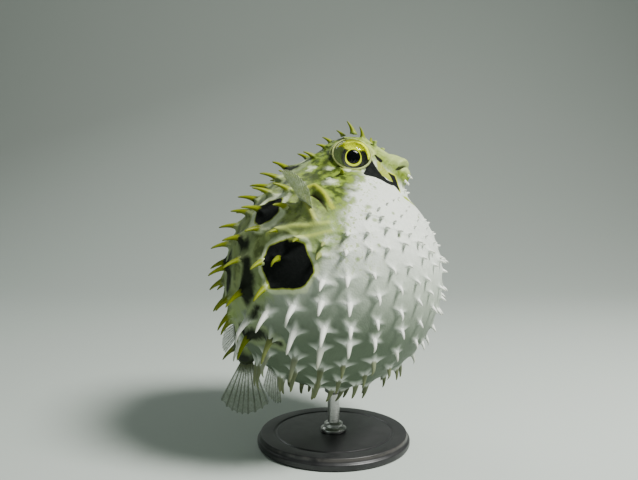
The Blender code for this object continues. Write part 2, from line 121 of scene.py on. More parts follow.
# ---------------------------------------------------------------- the body's shape

def smooth_min(a, b, width):
    """The lower of two fields, with a rounded meeting of the given width."""
    h = np.clip(0.5 + 0.5 * (b - a) / width, 0.0, 1.0)
    return b + (a - b) * h - width * h * (1.0 - h)


def ease(value, low, high):
    """Nought below low, one above high and a smooth cubic step between them."""
    t = np.clip((value - low) / (high - low), 0.0, 1.0)
    return t * t * (3.0 - 2.0 * t)


def unit(vector):
    vector = np.asarray(vector, float)
    return vector / np.maximum(np.linalg.norm(vector, axis=-1, keepdims=True), 1e-9)


def ellipsoid(points, centre, radii):
    """Distance-like field of an ellipsoid: below zero inside."""
    radii = np.asarray(radii, float)
    q = points - np.asarray(centre, float)
    near = np.linalg.norm(q / radii, axis=-1)
    slope = np.linalg.norm(q / radii ** 2, axis=-1)
    return near * (near - 1.0) / np.maximum(slope, 1e-9)


def capsule(points, start, end, start_r, end_r, squeeze=1.0):
    """Distance to a tapered capsule, made slimmer across by the squeeze factor."""
    scale = np.array([1.0, squeeze, 1.0])
    start, end = np.asarray(start, float), np.asarray(end, float)
    q, axis = (points - start) * scale, (end - start) * scale
    h = np.clip(q @ axis / (axis @ axis), 0.0, 1.0)
    return np.linalg.norm(q - h[..., None] * axis, axis=-1) - (start_r + (end_r - start_r) * h)


def mirrored(points):
    """The same points, all on the fish's left side."""
    q = np.array(points, float)
    q[..., 1] = np.abs(q[..., 1])
    return q


def body_field(points):
    """The fish without fins, spines and sockets, alike on both sides."""
    q = mirrored(points)
    head = smooth_min(capsule(q, *SKULL, squeeze=0.95), capsule(q, *SNOUT), SNOUT_MEETS)
    head = smooth_min(head, ellipsoid(q, ORBIT_AT, ORBIT_R), ORBIT_MEETS)
    body = smooth_min(head, ellipsoid(q, BALL_AT, (BALL_LONG, BALL_R, BALL_R)), BALL_MEETS)
    body = smooth_min(body, capsule(q, *PEDUNCLE, squeeze=1.15), TAIL_MEETS)
    lips = smooth_min(ellipsoid(q, UPPER_LIP_AT, UPPER_LIP_R),
                      ellipsoid(q, LOWER_LIP_AT, LOWER_LIP_R), LIPS_MEET)
    return smooth_min(body, lips, MOUTH_MEETS)


def cast(origins, ways, reach=140.0, steps=71, halvings=20):
    """Where each ray first leaves the body: marched outwards, then halved down."""
    low = np.zeros(origins.shape[:-1])
    high = np.full(origins.shape[:-1], reach)
    done = np.zeros(origins.shape[:-1], bool)
    stops = np.linspace(0.0, reach, steps)
    for before, at in zip(stops[:-1], stops[1:]):
        left = ~done & (body_field(origins + ways * at) > 0)
        low[left], high[left] = before, at
        done |= left
        if done.all():
            break
    for _ in range(halvings):
        middle = (low + high) / 2
        inside = body_field(origins + ways * middle[..., None]) <= 0
        low, high = np.where(inside, middle, low), np.where(inside, high, middle)
    return origins + ways * ((low + high) / 2)[..., None]


def normals(points, step=0.05):
    """Outward unit normals of the body's surface, from the field's slope."""
    slope = np.stack([body_field(points + step * axis) - body_field(points - step * axis)
                      for axis in np.eye(3)], axis=-1)
    return unit(slope)


def onto_body(points):
    """Points slid along the field's slope until they lie on the body's surface."""
    for _ in range(3):
        points = points - normals(points) * body_field(points)[..., None]
    return points


def turn_about(axis, degrees):
    """Rotation matrix about one axis of the frame, by the right-hand rule."""
    c, s = math.cos(math.radians(degrees)), math.sin(math.radians(degrees))
    i, j = {"x": (1, 2), "y": (2, 0), "z": (0, 1)}[axis]
    turn = np.eye(3)
    turn[i, i] = turn[j, j] = c
    turn[i, j], turn[j, i] = -s, s
    return turn


def pose_matrix():
    """Belly rolled to the front, head turned to the front, nose raised, then leaned back."""
    return (turn_about("x", -LEAN) @ turn_about("y", -PITCH)
            @ turn_about("z", -YAW) @ turn_about("x", -ROLL))


POSE = pose_matrix()


def to_model(points):
    """From the fish's frame in millimetres to the model's frame in metres."""
    return points @ POSE.T * MM + np.array([0.0, 0.0, BALL_HEIGHT])


# ---------------------------------------------------------------- making pieces

def tube_quads(rows, around):
    """Quads between the rings of a closed tube whose points are stored ring by ring."""
    i = np.arange(rows - 1)[:, None] * around
    j, k = np.arange(around)[None, :], (np.arange(around)[None, :] + 1) % around
    return np.stack([i + j, i + k, i + around + k, i + around + j], axis=-1).reshape(-1, 4)


def end_fans(rows, around):
    """Triangles from the first and the last ring to two end points stored after them all."""
    j, k = np.arange(around), (np.arange(around) + 1) % around
    last = (rows - 1) * around
    front = np.stack([np.full(around, rows * around), k, j], axis=-1)
    back = np.stack([np.full(around, rows * around + 1), last + j, last + k], axis=-1)
    return np.concatenate([front, back])


def repeat_faces(faces, copies, points_each):
    """The faces of one shape, again for each copy of its points."""
    step = np.arange(copies)[:, None, None] * points_each
    return (faces[None] + step).reshape(-1, faces.shape[1])


def enclosed(points, faces):
    """Six times the volume that closed faces enclose, above zero when they face outwards."""
    corner = points[faces]
    total = 0.0
    for k in range(1, faces.shape[1] - 1):
        side = np.cross(corner[:, k], corner[:, k + 1])
        total += np.einsum("ij,ij->i", corner[:, 0], side).sum()
    return total


def make_piece(name, points, face_sets, look, replaces=(), marks=None, unwrap=None):
    """A piece from points in the model's frame and its quads and triangles.

    marks are per-point attributes, one number or three each; unwrap is a place on the
    piece's own map for each point.  Faces are turned round if they enclose a negative volume.
    """
    centre = points.mean(axis=0)
    if sum(enclosed(points - centre, faces) for faces in face_sets) < 0:
        face_sets = [faces[:, ::-1] for faces in face_sets]
    corners = np.concatenate([faces.ravel() for faces in face_sets]).astype(np.int32)
    sizes = np.concatenate([np.full(len(faces), faces.shape[1]) for faces in face_sets])
    mesh = bpy.data.meshes.new(name)
    mesh.vertices.add(len(points))
    mesh.vertices.foreach_set("co", points.astype(np.float32).ravel())
    mesh.loops.add(len(corners))
    mesh.loops.foreach_set("vertex_index", corners)
    mesh.polygons.add(len(sizes))
    mesh.polygons.foreach_set("loop_start", (np.cumsum(sizes) - sizes).astype(np.int32))
    mesh.update(calc_edges=True)
    mesh.validate()
    for mark, values in (marks or {}).items():
        kind, field = ("FLOAT_VECTOR", "vector") if values.ndim == 2 else ("FLOAT", "value")
        layer = mesh.attributes.new(mark, kind, "POINT")
        layer.data.foreach_set(field, values.astype(np.float32).ravel())
    if unwrap is not None:
        layer = mesh.uv_layers.new(name="OFBake")
        order = np.zeros(len(mesh.loops), np.int32)
        mesh.loops.foreach_get("vertex_index", order)
        layer.data.foreach_set("uv", unwrap[order].astype(np.float32).ravel())
    mesh.shade_smooth()
    mesh.materials.append(look)
    made = bpy.data.objects.new(name, mesh)
    bpy.context.scene.collection.objects.link(made)
    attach(made, "root")
    if replaces:
        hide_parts(*replaces)


def turned(profile, around):
    """A profile of (radius, height) pairs turned about the z axis, closed by its two ends."""
    profile = np.asarray(profile, float)
    turns = np.arange(around) / around * 2 * math.pi
    inner = profile[1:-1]
    rings = np.stack([inner[:, :1] * np.cos(turns), inner[:, :1] * np.sin(turns),
                      inner[:, 1:] + 0 * turns], axis=-1)
    ends = np.array([[0.0, 0.0, profile[0, 1]], [0.0, 0.0, profile[-1, 1]]])
    return (np.vstack([rings.reshape(-1, 3), ends]),
            [tube_quads(len(inner), around), end_fans(len(inner), around)])


def rounded(corners, radius, steps=5):
    """A (radius, height) outline whose inner corners are rounded by quarter-like arcs."""
    corners = [np.asarray(c, float) for c in corners]
    out = [corners[0]]
    for before, at, after in zip(corners[:-2], corners[1:-1], corners[2:]):
        reach = min(radius, np.linalg.norm(before - at) / 2, np.linalg.norm(after - at) / 2)
        start, end = at + unit(before - at) * reach, at + unit(after - at) * reach
        for t in np.linspace(0.0, 1.0, steps):
            out.append((1 - t) ** 2 * start + 2 * t * (1 - t) * at + t ** 2 * end)
    out.append(corners[-1])
    return np.array(out)


# ---------------------------------------------------------------- where the spines stand

def spine_way(theta, phi):
    """Direction from the body's middle: theta from the mouth, phi from the back, to the right."""
    theta, phi = math.radians(theta), math.radians(phi)
    return np.array([math.cos(theta), -math.sin(theta) * math.sin(phi),
                     math.sin(theta) * math.cos(phi)])


def spine_length(theta, phi):
    """Short under the throat and belly, long on the flanks near the tail, even on the back."""
    belly = 5.0 + 5.0 * np.clip((theta - 65.0) / 60.0, 0.0, 1.0)
    flank = 5.0 + 12.0 * np.clip((theta - 55.0) / 70.0, 0.0, 1.0)
    low = belly + (flank - belly) * np.clip((150.0 - abs(phi)) / 40.0, 0.0, 1.0)
    return BACK_LENGTH + (low - BACK_LENGTH) * np.clip((abs(phi) - 65.0) / 25.0, 0.0, 1.0)


def clear_of_cuts(theta, phi):
    """The nearest place along the body that keeps a root off the planes the body parts at."""
    shifts = (0, 1, -1, 2, -2, 3, -3, 4, -4, 5, -5)
    ways = np.array([spine_way(theta + shift, phi) for shift in shifts])
    for hit in cast(np.zeros_like(ways), ways):
        if min(abs(hit[0] - HEAD_CUT_X), abs(hit[0] - TAIL_CUT_X)) > SPINE_ROOT + CUT_CLEAR:
            return hit
    return None


def near_other_parts(hit, foot):
    """True where a spine would stand in an eye, in a fold, in a fin or its way, or by the rod."""
    q = mirrored(hit)
    near = [np.linalg.norm(q - EYE_AT) < EYE_R + EYE_CLEAR, np.linalg.norm(hit - foot) < ROD_CLEAR]
    near += [np.linalg.norm(q - np.array(point)) < FOLD_CLEAR for point in FOLDS]
    for middle, _, out, root_long, long, *_ in FINS.values():
        along = np.clip((hit - middle) @ unit(out), 0.0, 0.8 * long)
        near.append(np.linalg.norm(hit - middle - along * unit(out)) < root_long / 2 + FIN_CLEAR)
    return any(near)


def large_spines(foot):
    """Root and length of every long spine, ring by ring, then those of the head."""
    chance = np.random.default_rng(SPINE_SEED)
    sites = []
    for ring in range(SPINE_RINGS):
        theta = FIRST_RING + RING_STEP * ring + RING_GROWTH * ring ** 2
        fill = min(1.0, math.sin(math.radians(theta)) / 0.8) if theta > 90 else 1.0
        space = 360.0 / round(SPINES_A_RING * fill)
        up = (180.0 - RING_TURN - RING_TWIST * ring - 0.5 * (ring % 2) * space) % space
        turn = 180.0
        while turn > 0.0:
            wobble, stretch = chance.uniform(-1.6, 1.6, 2), chance.uniform(0.88, 1.12)
            turn = 180.0 - up if up < 90.0 else 90.0 - BACK_SPREAD * (up - 90.0)
            turn = 0.0 if turn < 0.45 * space else 180.0 if up < 0.3 * space else turn
            tilt = theta + RING_CUP * math.cos(math.radians(turn))
            up += space
            if tilt < 60.0 and turn < 100.0:
                continue  # the head has its own
            for side in (1, -1) if 0.0 < turn < 180.0 else (1,):
                hit = clear_of_cuts(tilt + wobble[0], side * (turn + wobble[1]))
                if hit is not None and not near_other_parts(hit, foot):
                    sites.append((hit, spine_length(tilt, turn) * stretch))
    for theta, phi, length in HEAD_SPINES + FLANK_SPINES:
        for side in (1, -1):
            hit = clear_of_cuts(theta, phi * side)
            if hit is not None:
                sites.append((hit, length))
    return sites


def throat_spines():
    """Small spines in front of the belly's rings, growing smaller towards the chin."""
    ways, lengths = [], []
    for ring, (theta, length) in enumerate(THROAT_RINGS):
        count = round(SPINES_A_RING * math.sin(math.radians(theta + 20.0)) / 1.6) * 2
        for j in range(count):
            phi = (j + 0.5 * (ring % 2)) * 360.0 / count - 180.0
            if abs(phi) > 104.0:
                ways.append(spine_way(theta, phi))
                lengths.append(length)
    ways = np.array(ways)
    chin = [(x, side * y, z, long) for x, y, z, long in CHIN_SPINES for side in (1, -1)]
    roots = np.vstack([cast(np.zeros_like(ways), ways), onto_body(np.array(chin)[:, :3])])
    return list(zip(roots, lengths + [long for *_, long in chin]))


def spine_frames(sites):
    """Arrays of every spine's root, outward way, leaning way, the way across and its length."""
    roots = np.array([root for root, _ in sites])
    lengths = np.array([length for _, length in sites])
    out = normals(roots)
    drift = np.stack([np.full(len(roots), -0.85), np.zeros(len(roots)),
                      np.where(roots[:, 2] < 30, -0.50, -0.1)], axis=-1)
    lean = unit(drift - (drift * out).sum(-1, keepdims=True) * out)
    return roots, out, lean, np.cross(out, lean), lengths


def spine_middle(share, out, lean, length):
    """Where a spine's middle line is above its root at a share of its length.

    It rises by nine tenths of its length and leans over by a little more than half of it,
    with the square of the share, so that it curves back.  The smallest stand up straighter.
    """
    over = np.clip((length - 2.0) / 4.0, 0.0, 1.0)
    return (out * length * (share - 0.10 * share ** 2)
            + lean * length * over * (0.28 * share + 0.30 * share ** 2))


# ---------------------------------------------------------------- skin

TENT_TALL = 0.40  # how far the skin climbs a spine, of its length
TENT_REACH, TENT_WAIST = 12.5, 5.8  # along the three roots and between them, mm
TENT_ROOTS = ((math.pi, 0.65, 0.30),  # turn from the leaning way, strength, its spread
              (1.75, 0.85, 0.25), (-1.75, 0.85, 0.25))
PULL_REACH, PULL_SHARE = 9.0, 0.62  # skin points gather round each spine

GILL_SLIT = ((33.2, 57.6, 26.8, 0.5), (36.9, 57.4, 22.1, 1.0), (37.7, 58.8, 16.2, 1.0),
             (36.5, 61.1, 8.5, 0.6), (35.4, 62.2, 4.6, 0.1))           # x, y, z, half width
GILL_RIDGE = ((34.5, 55.0, 30.5), (40.6, 52.7, 26.9), (41.0, 56.6, 16.1), (39.0, 60.0, 4.9))
FIN_LOBE = ((31.8, 59.9, 23.4), (29.8, 63.1, 16.4), (26.9, 66.2, 5.9))
UPPER_FOLD = ((30.8, 64.7, -1.7), (21.6, 68.2, 5.6), (14.7, 69.1, 13.2), (8.5, 69.1, 17.8),
              (1.6, 68.5, 21.8))
LOWER_FOLD = ((28.3, 65.5, -6.7), (19.1, 69.2, -1.0), (14.0, 70.4, 2.9), (9.2, 70.9, 6.8))
LID_ANGLE = 68.0  # half angle of the eye's opening, degrees
LID_BEAD = (0.95, 3.5)  # mm proud of the ball, degrees it takes to rise
LID_GROOVE, LID_RIDGE = (-0.70, 9.0, 3.2), (0.90, 17.5, 4.5)  # mm proud, middle and width
NO_LID = 99.0  # the lid mark of all that is away from the eyes


def path_distance(points, path):
    """Distance to a chain of straight stretches, and the share of its length reached."""
    path = np.asarray(path, float)[:, :3]
    parts = np.linalg.norm(np.diff(path, axis=0), axis=1)
    before = np.concatenate([[0.0], np.cumsum(parts)])
    best = np.full(points.shape[:-1], 1e9)
    share = np.zeros(points.shape[:-1])
    for k, (a, b) in enumerate(zip(path[:-1], path[1:])):
        h = np.clip((points - a) @ (b - a) / parts[k] ** 2, 0.0, 1.0)
        away = np.linalg.norm(points - a - h[..., None] * (b - a), axis=-1)
        nearer = away < best
        best = np.where(nearer, away, best)
        share = np.where(nearer, (before[k] + h * parts[k]) / before[-1], share)
    return best, share


def skin_grid():
    """Rings of ray hits from mouth to tail, closer together on the face."""
    share = (np.arange(SKIN_ROWS) + 0.6) / (SKIN_ROWS + 0.2)
    along = np.interp(share, ROW_SHARES, ROW_STOPS)
    tilt = np.radians(np.interp(along, RAY_STOPS, RAY_TILTS))[:, None]
    slide = np.interp(along, RAY_STOPS, RAY_SLIDES)[:, None, None]
    turn = (np.arange(SKIN_ROUND) / SKIN_ROUND * 2 * math.pi)[None, :]
    origins = (np.clip(1 - slide, 0, 1) * np.array(RAY_FROM_MOUTH)
               + np.clip(slide - 1, 0, 1) * np.array(RAY_FROM_TAIL)) + 0 * turn[..., None]
    ways = np.stack([np.cos(tilt) + 0 * turn, -np.sin(tilt) * np.sin(turn),
                     np.sin(tilt) * np.cos(turn)], axis=-1)
    ends = cast(np.array([RAY_FROM_MOUTH, RAY_FROM_TAIL]), np.array([[1.0, 0, 0], [-1.0, 0, 0]]))
    return np.vstack([cast(origins, ways).reshape(-1, 3), ends])


def gather(points, roots):
    """Points within reach of a spine drawn towards its root, then put back on the body."""
    for root in roots:
        away = points - root
        far = np.linalg.norm(away, axis=1)
        near = far < PULL_REACH
        pull = PULL_SHARE * (1.0 - far[near] / PULL_REACH) ** 2
        points[near] -= away[near] * pull[:, None]
    return onto_body(points)


def tents(points, frames):
    """How spines lift the skin: three ribs that run in to each root and climb it.

    A tent's height falls with the distance from its root as (1 - distance / reach) to the
    power 2.2, and its reach swells over the three buried roots, one ahead and one each side.
    """
    move = np.zeros_like(points)
    rise = np.zeros(len(points))
    vary = np.random.default_rng(SPINE_SEED + 1).uniform(-1.0, 1.0, (len(frames[0]), 4))
    for root, up, lean, across, length, odd in zip(*frames, vary):
        away = points - root
        near = np.flatnonzero(np.linalg.norm(away, axis=1) < TENT_REACH)
        flat = away[near] - (away[near] @ up)[:, None] * up
        turn = np.arctan2(flat @ across, flat @ lean) + 0.40 * odd[0]
        lobe = 0.0
        for (arm, strong, spread), chance in zip(TENT_ROOTS, odd[1:]):
            off = (turn - arm + math.pi) % (2 * math.pi) - math.pi
            lobe = lobe + (strong + spread * chance) * np.exp(-(off / 0.33) ** 2)
        size = min(1.0, 0.35 + length / 15.0)
        reach = size * (TENT_WAIST + (TENT_REACH - TENT_WAIST) * lobe)
        height = np.clip(1.0 - np.linalg.norm(flat, axis=1) / reach, 0.0, 1.0) ** 2.2
        move[near] += spine_middle(TENT_TALL * height[:, None], up, lean, length)
        rise[near] = np.maximum(rise[near], height ** 0.5 * size)
    return move, rise


def fold_lifts(q):
    """Millimetres by which ridges, slits and pads raise or sink the skin, from mirrored places."""
    far, share = path_distance(q, GILL_RIDGE)
    lift = 2.6 * np.exp(-(far / 2.5) ** 2) * np.sin(math.pi * np.clip(share + 0.12, 0, 1)) ** 0.7
    far, _ = path_distance(q, FIN_LOBE)
    lift += 3.2 * np.exp(-(far / 2.6) ** 2)
    far, share = path_distance(q, UPPER_FOLD)
    lift += 3.0 * np.exp(-(far / (2.7 - 0.9 * share)) ** 2) * (0.45 + 0.55 * share)
    far, share = path_distance(q, LOWER_FOLD)
    lift += 2.4 * np.exp(-(far / 2.2) ** 2) * (0.4 + 0.6 * share)
    far, share = path_distance(q, GILL_SLIT)
    return lift - (1.8 + lift) * np.exp(-(far / 1.3) ** 2) * (1.0 - ease(share, 0.5, 0.95))


def mouth_lift(q):
    """How far back the lips' meeting line lies: a groove with sloping sides, closed at its ends."""
    gape = 1.0 - np.clip(np.abs(q[:, 2] - MOUTH_Z) / MOUTH_TALL, 0.0, 1.0)
    wide = 1.0 - ease(q[:, 1], MOUTH_WIDE - 3.0, MOUTH_WIDE)
    return MOUTH_DEEP * gape ** 0.8 * wide * ease(q[:, 0], 74.0, 80.0)


def about_eye(points):
    """Mirrored ways from an eye's middle, how far they reach and their degrees from its axis."""
    away = mirrored(points) - EYE_AT
    far = np.linalg.norm(away, axis=1)
    turn = np.arccos(np.clip(away @ unit(LID_AXIS) / far, -1.0, 1.0))
    return away, far, np.degrees(turn)


def swung(points, away, far, wanted):
    """Points about an eye swung to the wanted degrees from its axis, at the wanted distance."""
    axis = unit(LID_AXIS)
    aside = unit(away - (away @ axis)[:, None] * axis)
    turn = np.radians(wanted)[:, None]
    moved = EYE_AT + (axis * np.cos(turn) + aside * np.sin(turn)) * far[:, None]
    moved[:, 1] *= np.where(points[:, 1] < 0, -1.0, 1.0)
    return moved


def gather_at_lids(points):
    """Points drawn round each eye towards its rim, so that the lids are finely divided."""
    away, far, angle = about_eye(points)
    off, span = angle - LID_ANGLE, 30.0
    closer = np.sign(off) * span * (np.abs(off) / span) ** 1.5
    moved = swung(points, away, far, LID_ANGLE + np.where(np.abs(off) < span, closer, off))
    near = (far < 2.0 * EYE_R) & (angle < 120.0)
    return onto_body(np.where(near[:, None], moved, points))


def lids(points):
    """Points near an eye moved straight from or to its middle, to make its opening and lids.

    Within the opening the skin turns in under the eye and lines its socket.  At its rim
    stands a bead, then a groove and a wider ridge, which fades into the brow.
    """
    away, far, angle = about_eye(points)
    off = angle - LID_ANGLE
    over = unit(away - (away @ unit(LID_AXIS))[:, None] * unit(LID_AXIS)) @ EYE_UP
    brow = ease(over, -0.55, 0.25)
    ball = EYE_R + EYE_GAP
    lid = ball + LID_BEAD[0] * ease(off, 0.0, LID_BEAD[1])
    for proud, middle, wide in (LID_GROOVE, LID_RIDGE):
        lid = lid + proud * brow * np.exp(-((off - middle) / wide) ** 2)
    keep = np.maximum(ease(off, 16.0, 50.0), ease(far - lid, 0.0, 5.0) * ease(off, 10.0, 26.0))
    reach = np.where(off > 0, lid + (np.maximum(far, lid - 1.0) - lid) * keep, ball)
    under = LID_ANGLE + (180.0 - LID_ANGLE) * np.clip(-off / LID_ANGLE, 0.0, 0.97)
    moved = swung(points, away, reach, np.where(off > 0, angle, under))
    near = (far < 2.0 * EYE_R) & (angle < 125.0)
    mark = off + 40.0 * (1.0 - brow) * ease(off, 5.0, 7.0)
    return np.where(near[:, None], moved, points), np.where(near, mark, NO_LID)


def add_skin(frames, look):
    """One closed skin over head, trunk and tail, with its lids, mouth, gill slits and folds."""
    rest = skin_grid()
    rest[:-2] = gather_at_lids(gather(rest[:-2], frames[0]))
    out = normals(rest)
    q = mirrored(rest)
    move, rise = tents(rest, frames)
    points = rest + move + out * fold_lifts(q)[:, None]
    points[:, 0] -= mouth_lift(q)
    points, lid = lids(points)
    place = lids(rest)[0]
    faces = [tube_quads(SKIN_ROWS, SKIN_ROUND), end_fans(SKIN_ROWS, SKIN_ROUND)]
    make_piece("skin", to_model(points), faces, look, ("head", "trunk", "tail"),
               {"place": place, "rise": rise, "lid": lid})


# ---------------------------------------------------------------- spines

SPIKE_SHARES = np.array([0.05, 0.20, 0.36, 0.55, 0.74, 0.90, 0.985])
SPIKE_RADII = np.array([3.0, 2.35, 1.90, 1.55, 1.22, 0.90, 0.42])
SPIKE_ROUND = 8
SPIKE_TURNS = np.arange(SPIKE_ROUND) / SPIKE_ROUND * 2 * math.pi
HOOK_CHANCE, HOOK_BELOW = 0.22, 5.0  # which belly spines are hooked, and up to what z


def spike_points(frames):
    """A bent cone for every spine: rings about its middle line, closed at root and tip.

    Each ring's radius comes from SPIKE_RADII, shrunk for short spines.  Now and then the
    last fifth of a belly spine hooks over towards the tail.
    """
    roots, out, lean, across = (part[:, None] for part in frames[:4])
    lengths = frames[4][:, None, None]
    share = SPIKE_SHARES[None, :, None]
    chance = np.random.default_rng(SPINE_SEED).random(len(roots))[:, None]
    hooked = (chance < HOOK_CHANCE) & (roots[..., 2] < HOOK_BELOW)
    bend = (lean * 0.17 - out * 0.10) * lengths * hooked[..., None]
    middle = (roots + spine_middle(share, out, lean, lengths)
              + bend * np.clip((share - 0.8) / 0.2, 0, 1) ** 1.5)
    size = np.minimum(1.0, 0.22 + lengths / 14.0)
    turns = SPIKE_TURNS[None, None, :, None]
    radius = (SPIKE_RADII[None, :, None] * size)[..., None]
    rings = middle[:, :, None] + radius * (np.cos(turns) * lean[:, :, None]
                                           + np.sin(turns) * across[:, :, None])
    start, tip = (roots + spine_middle(np.full((1, 1, 1), end), out, lean, lengths)
                  for end in (0.0, 1.0))
    return np.concatenate([rings.reshape(len(roots), -1, 3), start, tip + bend], axis=1)


def add_spines(frames, look):
    """Every spine in one piece, each a small patch on the spines' own unwrap, placed by its root's
    angles round and along the body.
    """
    points = spike_points(frames)
    count, each = points.shape[:2]
    rows = len(SPIKE_SHARES)
    faces = [repeat_faces(tube_quads(rows, SPIKE_ROUND), count, each),
             repeat_faces(end_fans(rows, SPIKE_ROUND), count, each)]
    share = np.concatenate([np.repeat(SPIKE_SHARES, SPIKE_ROUND), [0.0, 1.0]])
    turns = np.concatenate([np.tile(SPIKE_TURNS, rows), [0, 0]])
    spread = 0.0015 * (1.0 - share)[:, None] * np.stack([np.cos(turns), np.sin(turns)], axis=-1)
    roots = frames[0]
    around = np.arctan2(-roots[:, 1], roots[:, 2]) / (2 * math.pi) + 0.5
    along = np.arccos(np.clip(roots[:, 0] / np.linalg.norm(roots, axis=1), -1, 1)) / math.pi
    patch = np.stack([around, along], axis=-1)[:, None] * 0.98 + 0.01 + spread[None]
    marks = {"place": np.repeat(roots, each, axis=0), "rise": np.tile(0.5 + 0.5 * share, count),
             "tip": np.tile(share, count), "lid": np.full(count * each, NO_LID)}
    make_piece("spines", to_model(points.reshape(-1, 3)), faces, look,
               marks=marks, unwrap=patch.reshape(-1, 2))


# ---------------------------------------------------------------- fins

def add_fin(fin, look, columns=97, rows=30):
    """A closed fan whose rays stand out on both faces and whose edge is nicked between them.

    A point lies at the root plus a ray turned by its share of the spread; the half thickness
    is that of the web plus that of a ray, which is a narrow power of a cosine across.
    """
    middle, along, out, root_long, long, spread, rays = FINS[fin]
    along, out = unit(along), unit(out)
    side = unit(np.cross(out, along))
    s = np.linspace(-1.0, 1.0, columns)[None, :]
    t = np.linspace(-FIN_SUNK / long, 1.0, rows)[:, None]
    open_t = np.clip(t, 0, 1)
    uneven = s + 0.035 * np.sin(5.3 * s + 0.7)
    ray = np.abs(np.cos(rays * math.pi / 2 * uneven * 0.98 + math.pi / 2 * (rays + 1))) ** 6
    edge = t * (1.0 - 0.16 * s ** 2) * (1.0 - 0.035 * (1.0 - ray) * t ** 4)
    reach = np.where(t > 0, edge, t)
    turn = np.radians(spread) * s
    way = out * np.cos(turn)[..., None] + along * np.sin(turn)[..., None]
    root = np.asarray(middle, float) + along * (root_long / 2) * s[..., None]
    droop = 0.035 * long * np.sin(2.4 * s + 0.6) * open_t ** 2
    sheet = root + way * (reach * long)[..., None] + side * droop[..., None]
    half = side * ((0.10 + 0.28 * ray) * (1.0 - 0.70 * open_t) + 0.05)[..., None]
    loop = np.concatenate([sheet + half, (sheet - half)[:, ::-1]], axis=1).reshape(-1, 3)
    around = 2 * columns
    j = np.arange(columns - 1)
    cap = np.stack([j, j + 1, around - 2 - j, around - 1 - j], axis=-1)
    faces = [tube_quads(rows, around), cap[:, ::-1], cap + (rows - 1) * around]
    across = ray + 0 * t
    marks = {"ray": np.concatenate([across, across[:, ::-1]], axis=1).ravel(),
             "out": np.repeat(open_t, around, axis=1).ravel(), "place": loop}
    make_piece(fin, to_model(loop), faces, look, (fin,), marks)


# ---------------------------------------------------------------- eyes and nostrils

PUPIL_R, PUPIL_DEEP = 4.7, 1.5  # the iris lies in a bowl behind the clear front
LENS_TALL, LENS_SUNK, RIM_ANGLE = 1.3, 0.35, 48.0
NOSTRIL = ((0.0, -3.0), (1.7, -3.0), (1.25, 2.4), (1.75, 4.0),  # radius, height
           (0.95, 4.1), (0.75, 1.2), (0.0, 1.0))


def arc(radius, start, stop, count):
    """Radius and height pairs on a ball, from one angle to another, measured from its back."""
    return [(radius * math.sin(a), -radius * math.cos(a))
            for a in np.radians(np.linspace(start, stop, count))]


def eye_profile():
    """The ball from its back to the rim of the iris, down the iris's bowl and over the lens."""
    back = arc(EYE_R - EYE_GAP, 0.0, 180.0 - RIM_ANGLE, 30)
    rim_r, rim_z = back[-1]
    bowl = [(rim_r - 0.25 + (PUPIL_R - rim_r + 0.25) * a,
             rim_z - 0.2 - (PUPIL_DEEP - 0.2) * math.sin(a * math.pi / 2) ** 0.9)
            for a in np.linspace(0.0, 1.0, 22)[1:]]
    depth = bowl[-1][1]
    lens = [(PUPIL_R * math.cos(a) * 0.985, depth - LENS_SUNK + LENS_TALL * math.sin(a))
            for a in np.radians(np.linspace(0.0, 90.0, 9))]
    return np.array([(0.0, back[0][1])] + back[1:] + bowl + lens)


def eye_frame(points, side):
    """Points about an eye's own axis carried to the fish's frame, on either side."""
    axis = unit(IRIS_AXIS)
    up = unit(EYE_UP - (EYE_UP @ axis) * axis)
    right = np.cross(axis, up)
    placed = EYE_AT + points @ np.stack([right, up, axis])
    placed[:, 1] *= side
    return placed


def add_eyes(ball_look, front_look):
    """On each side an eyeball with a sunken iris and a clear round front over it."""
    for word, side in SIDES:
        points, faces = turned(eye_profile(), 72)
        make_piece("eyeball_" + word, to_model(eye_frame(points, side)), faces, ball_look,
                   ("eye_" + word,), {"iris": points})
        points, faces = turned(arc(EYE_R, 0, 180, 33), 64)
        make_piece("eye_front_" + word, to_model(eye_frame(points, side)), faces, front_look)


def add_nostrils(look):
    """A short fleshy tube over each nostril, with a rolled rim and an open end."""
    points, faces = turned(rounded(NOSTRIL, 0.7), 20)
    axis = unit(NOSTRIL_WAY)
    across = unit(np.cross(axis, (0, 0, 1.0)))
    placed = NOSTRIL_AT + points @ np.stack([across, np.cross(axis, across), axis])
    marks = {"place": NOSTRIL_AT + 0 * placed, "rise": np.clip(points[:, 2] / 5, 0, 1),
             "lid": np.full(len(points), NO_LID)}
    for word, side in SIDES:
        make_piece("nostril_" + word, to_model(placed * (1, side, 1)), faces, look,
                   marks=marks)


# ---------------------------------------------------------------- stand

def add_stand(base_look, rod_look, foot):
    """A turned base with a stepped top, a rod with a collar at each end."""
    r, tall = BASE_R, BASE_TALL
    outline = rounded([(0, 0), (r - 0.0012, 0), (r, 0.0010), (r, 0.0042), (r - 0.0016, 0.0052),
                       (r - 0.0022, tall), (r - 0.0110, tall), (r - 0.0116, tall - 0.0006),
                       (r - 0.0128, tall - 0.0006), (r - 0.0134, tall), (0, tall)], 0.0007)
    points, faces = turned(outline, 128)
    make_piece("base", points, faces, base_look, ("stand_base",))
    body_foot = BALL_HEIGHT - np.linalg.norm(foot) * MM
    low, high = tall - ROD_SUNK * 0.5, body_foot + ROD_SUNK
    outline = rounded([(0, low), (ROD_R, low), (ROD_R, tall), (0.0088, tall), (0.0088, tall + 0.0022),
                       (0.0066, tall + 0.0036), (0.0062, tall + 0.0058), (ROD_R, tall + 0.0064),
                       (ROD_R, body_foot - 0.0062), (0.0060, body_foot - 0.0052),
                       (0.0066, body_foot - 0.0010), (0.0066, body_foot + 0.0015),
                       (ROD_R, body_foot + 0.003), (ROD_R, high), (0, high)], 0.0005)
    points, faces = turned(outline, 64)
    make_piece("rod", points, faces, rod_look, ("stand_rod",))


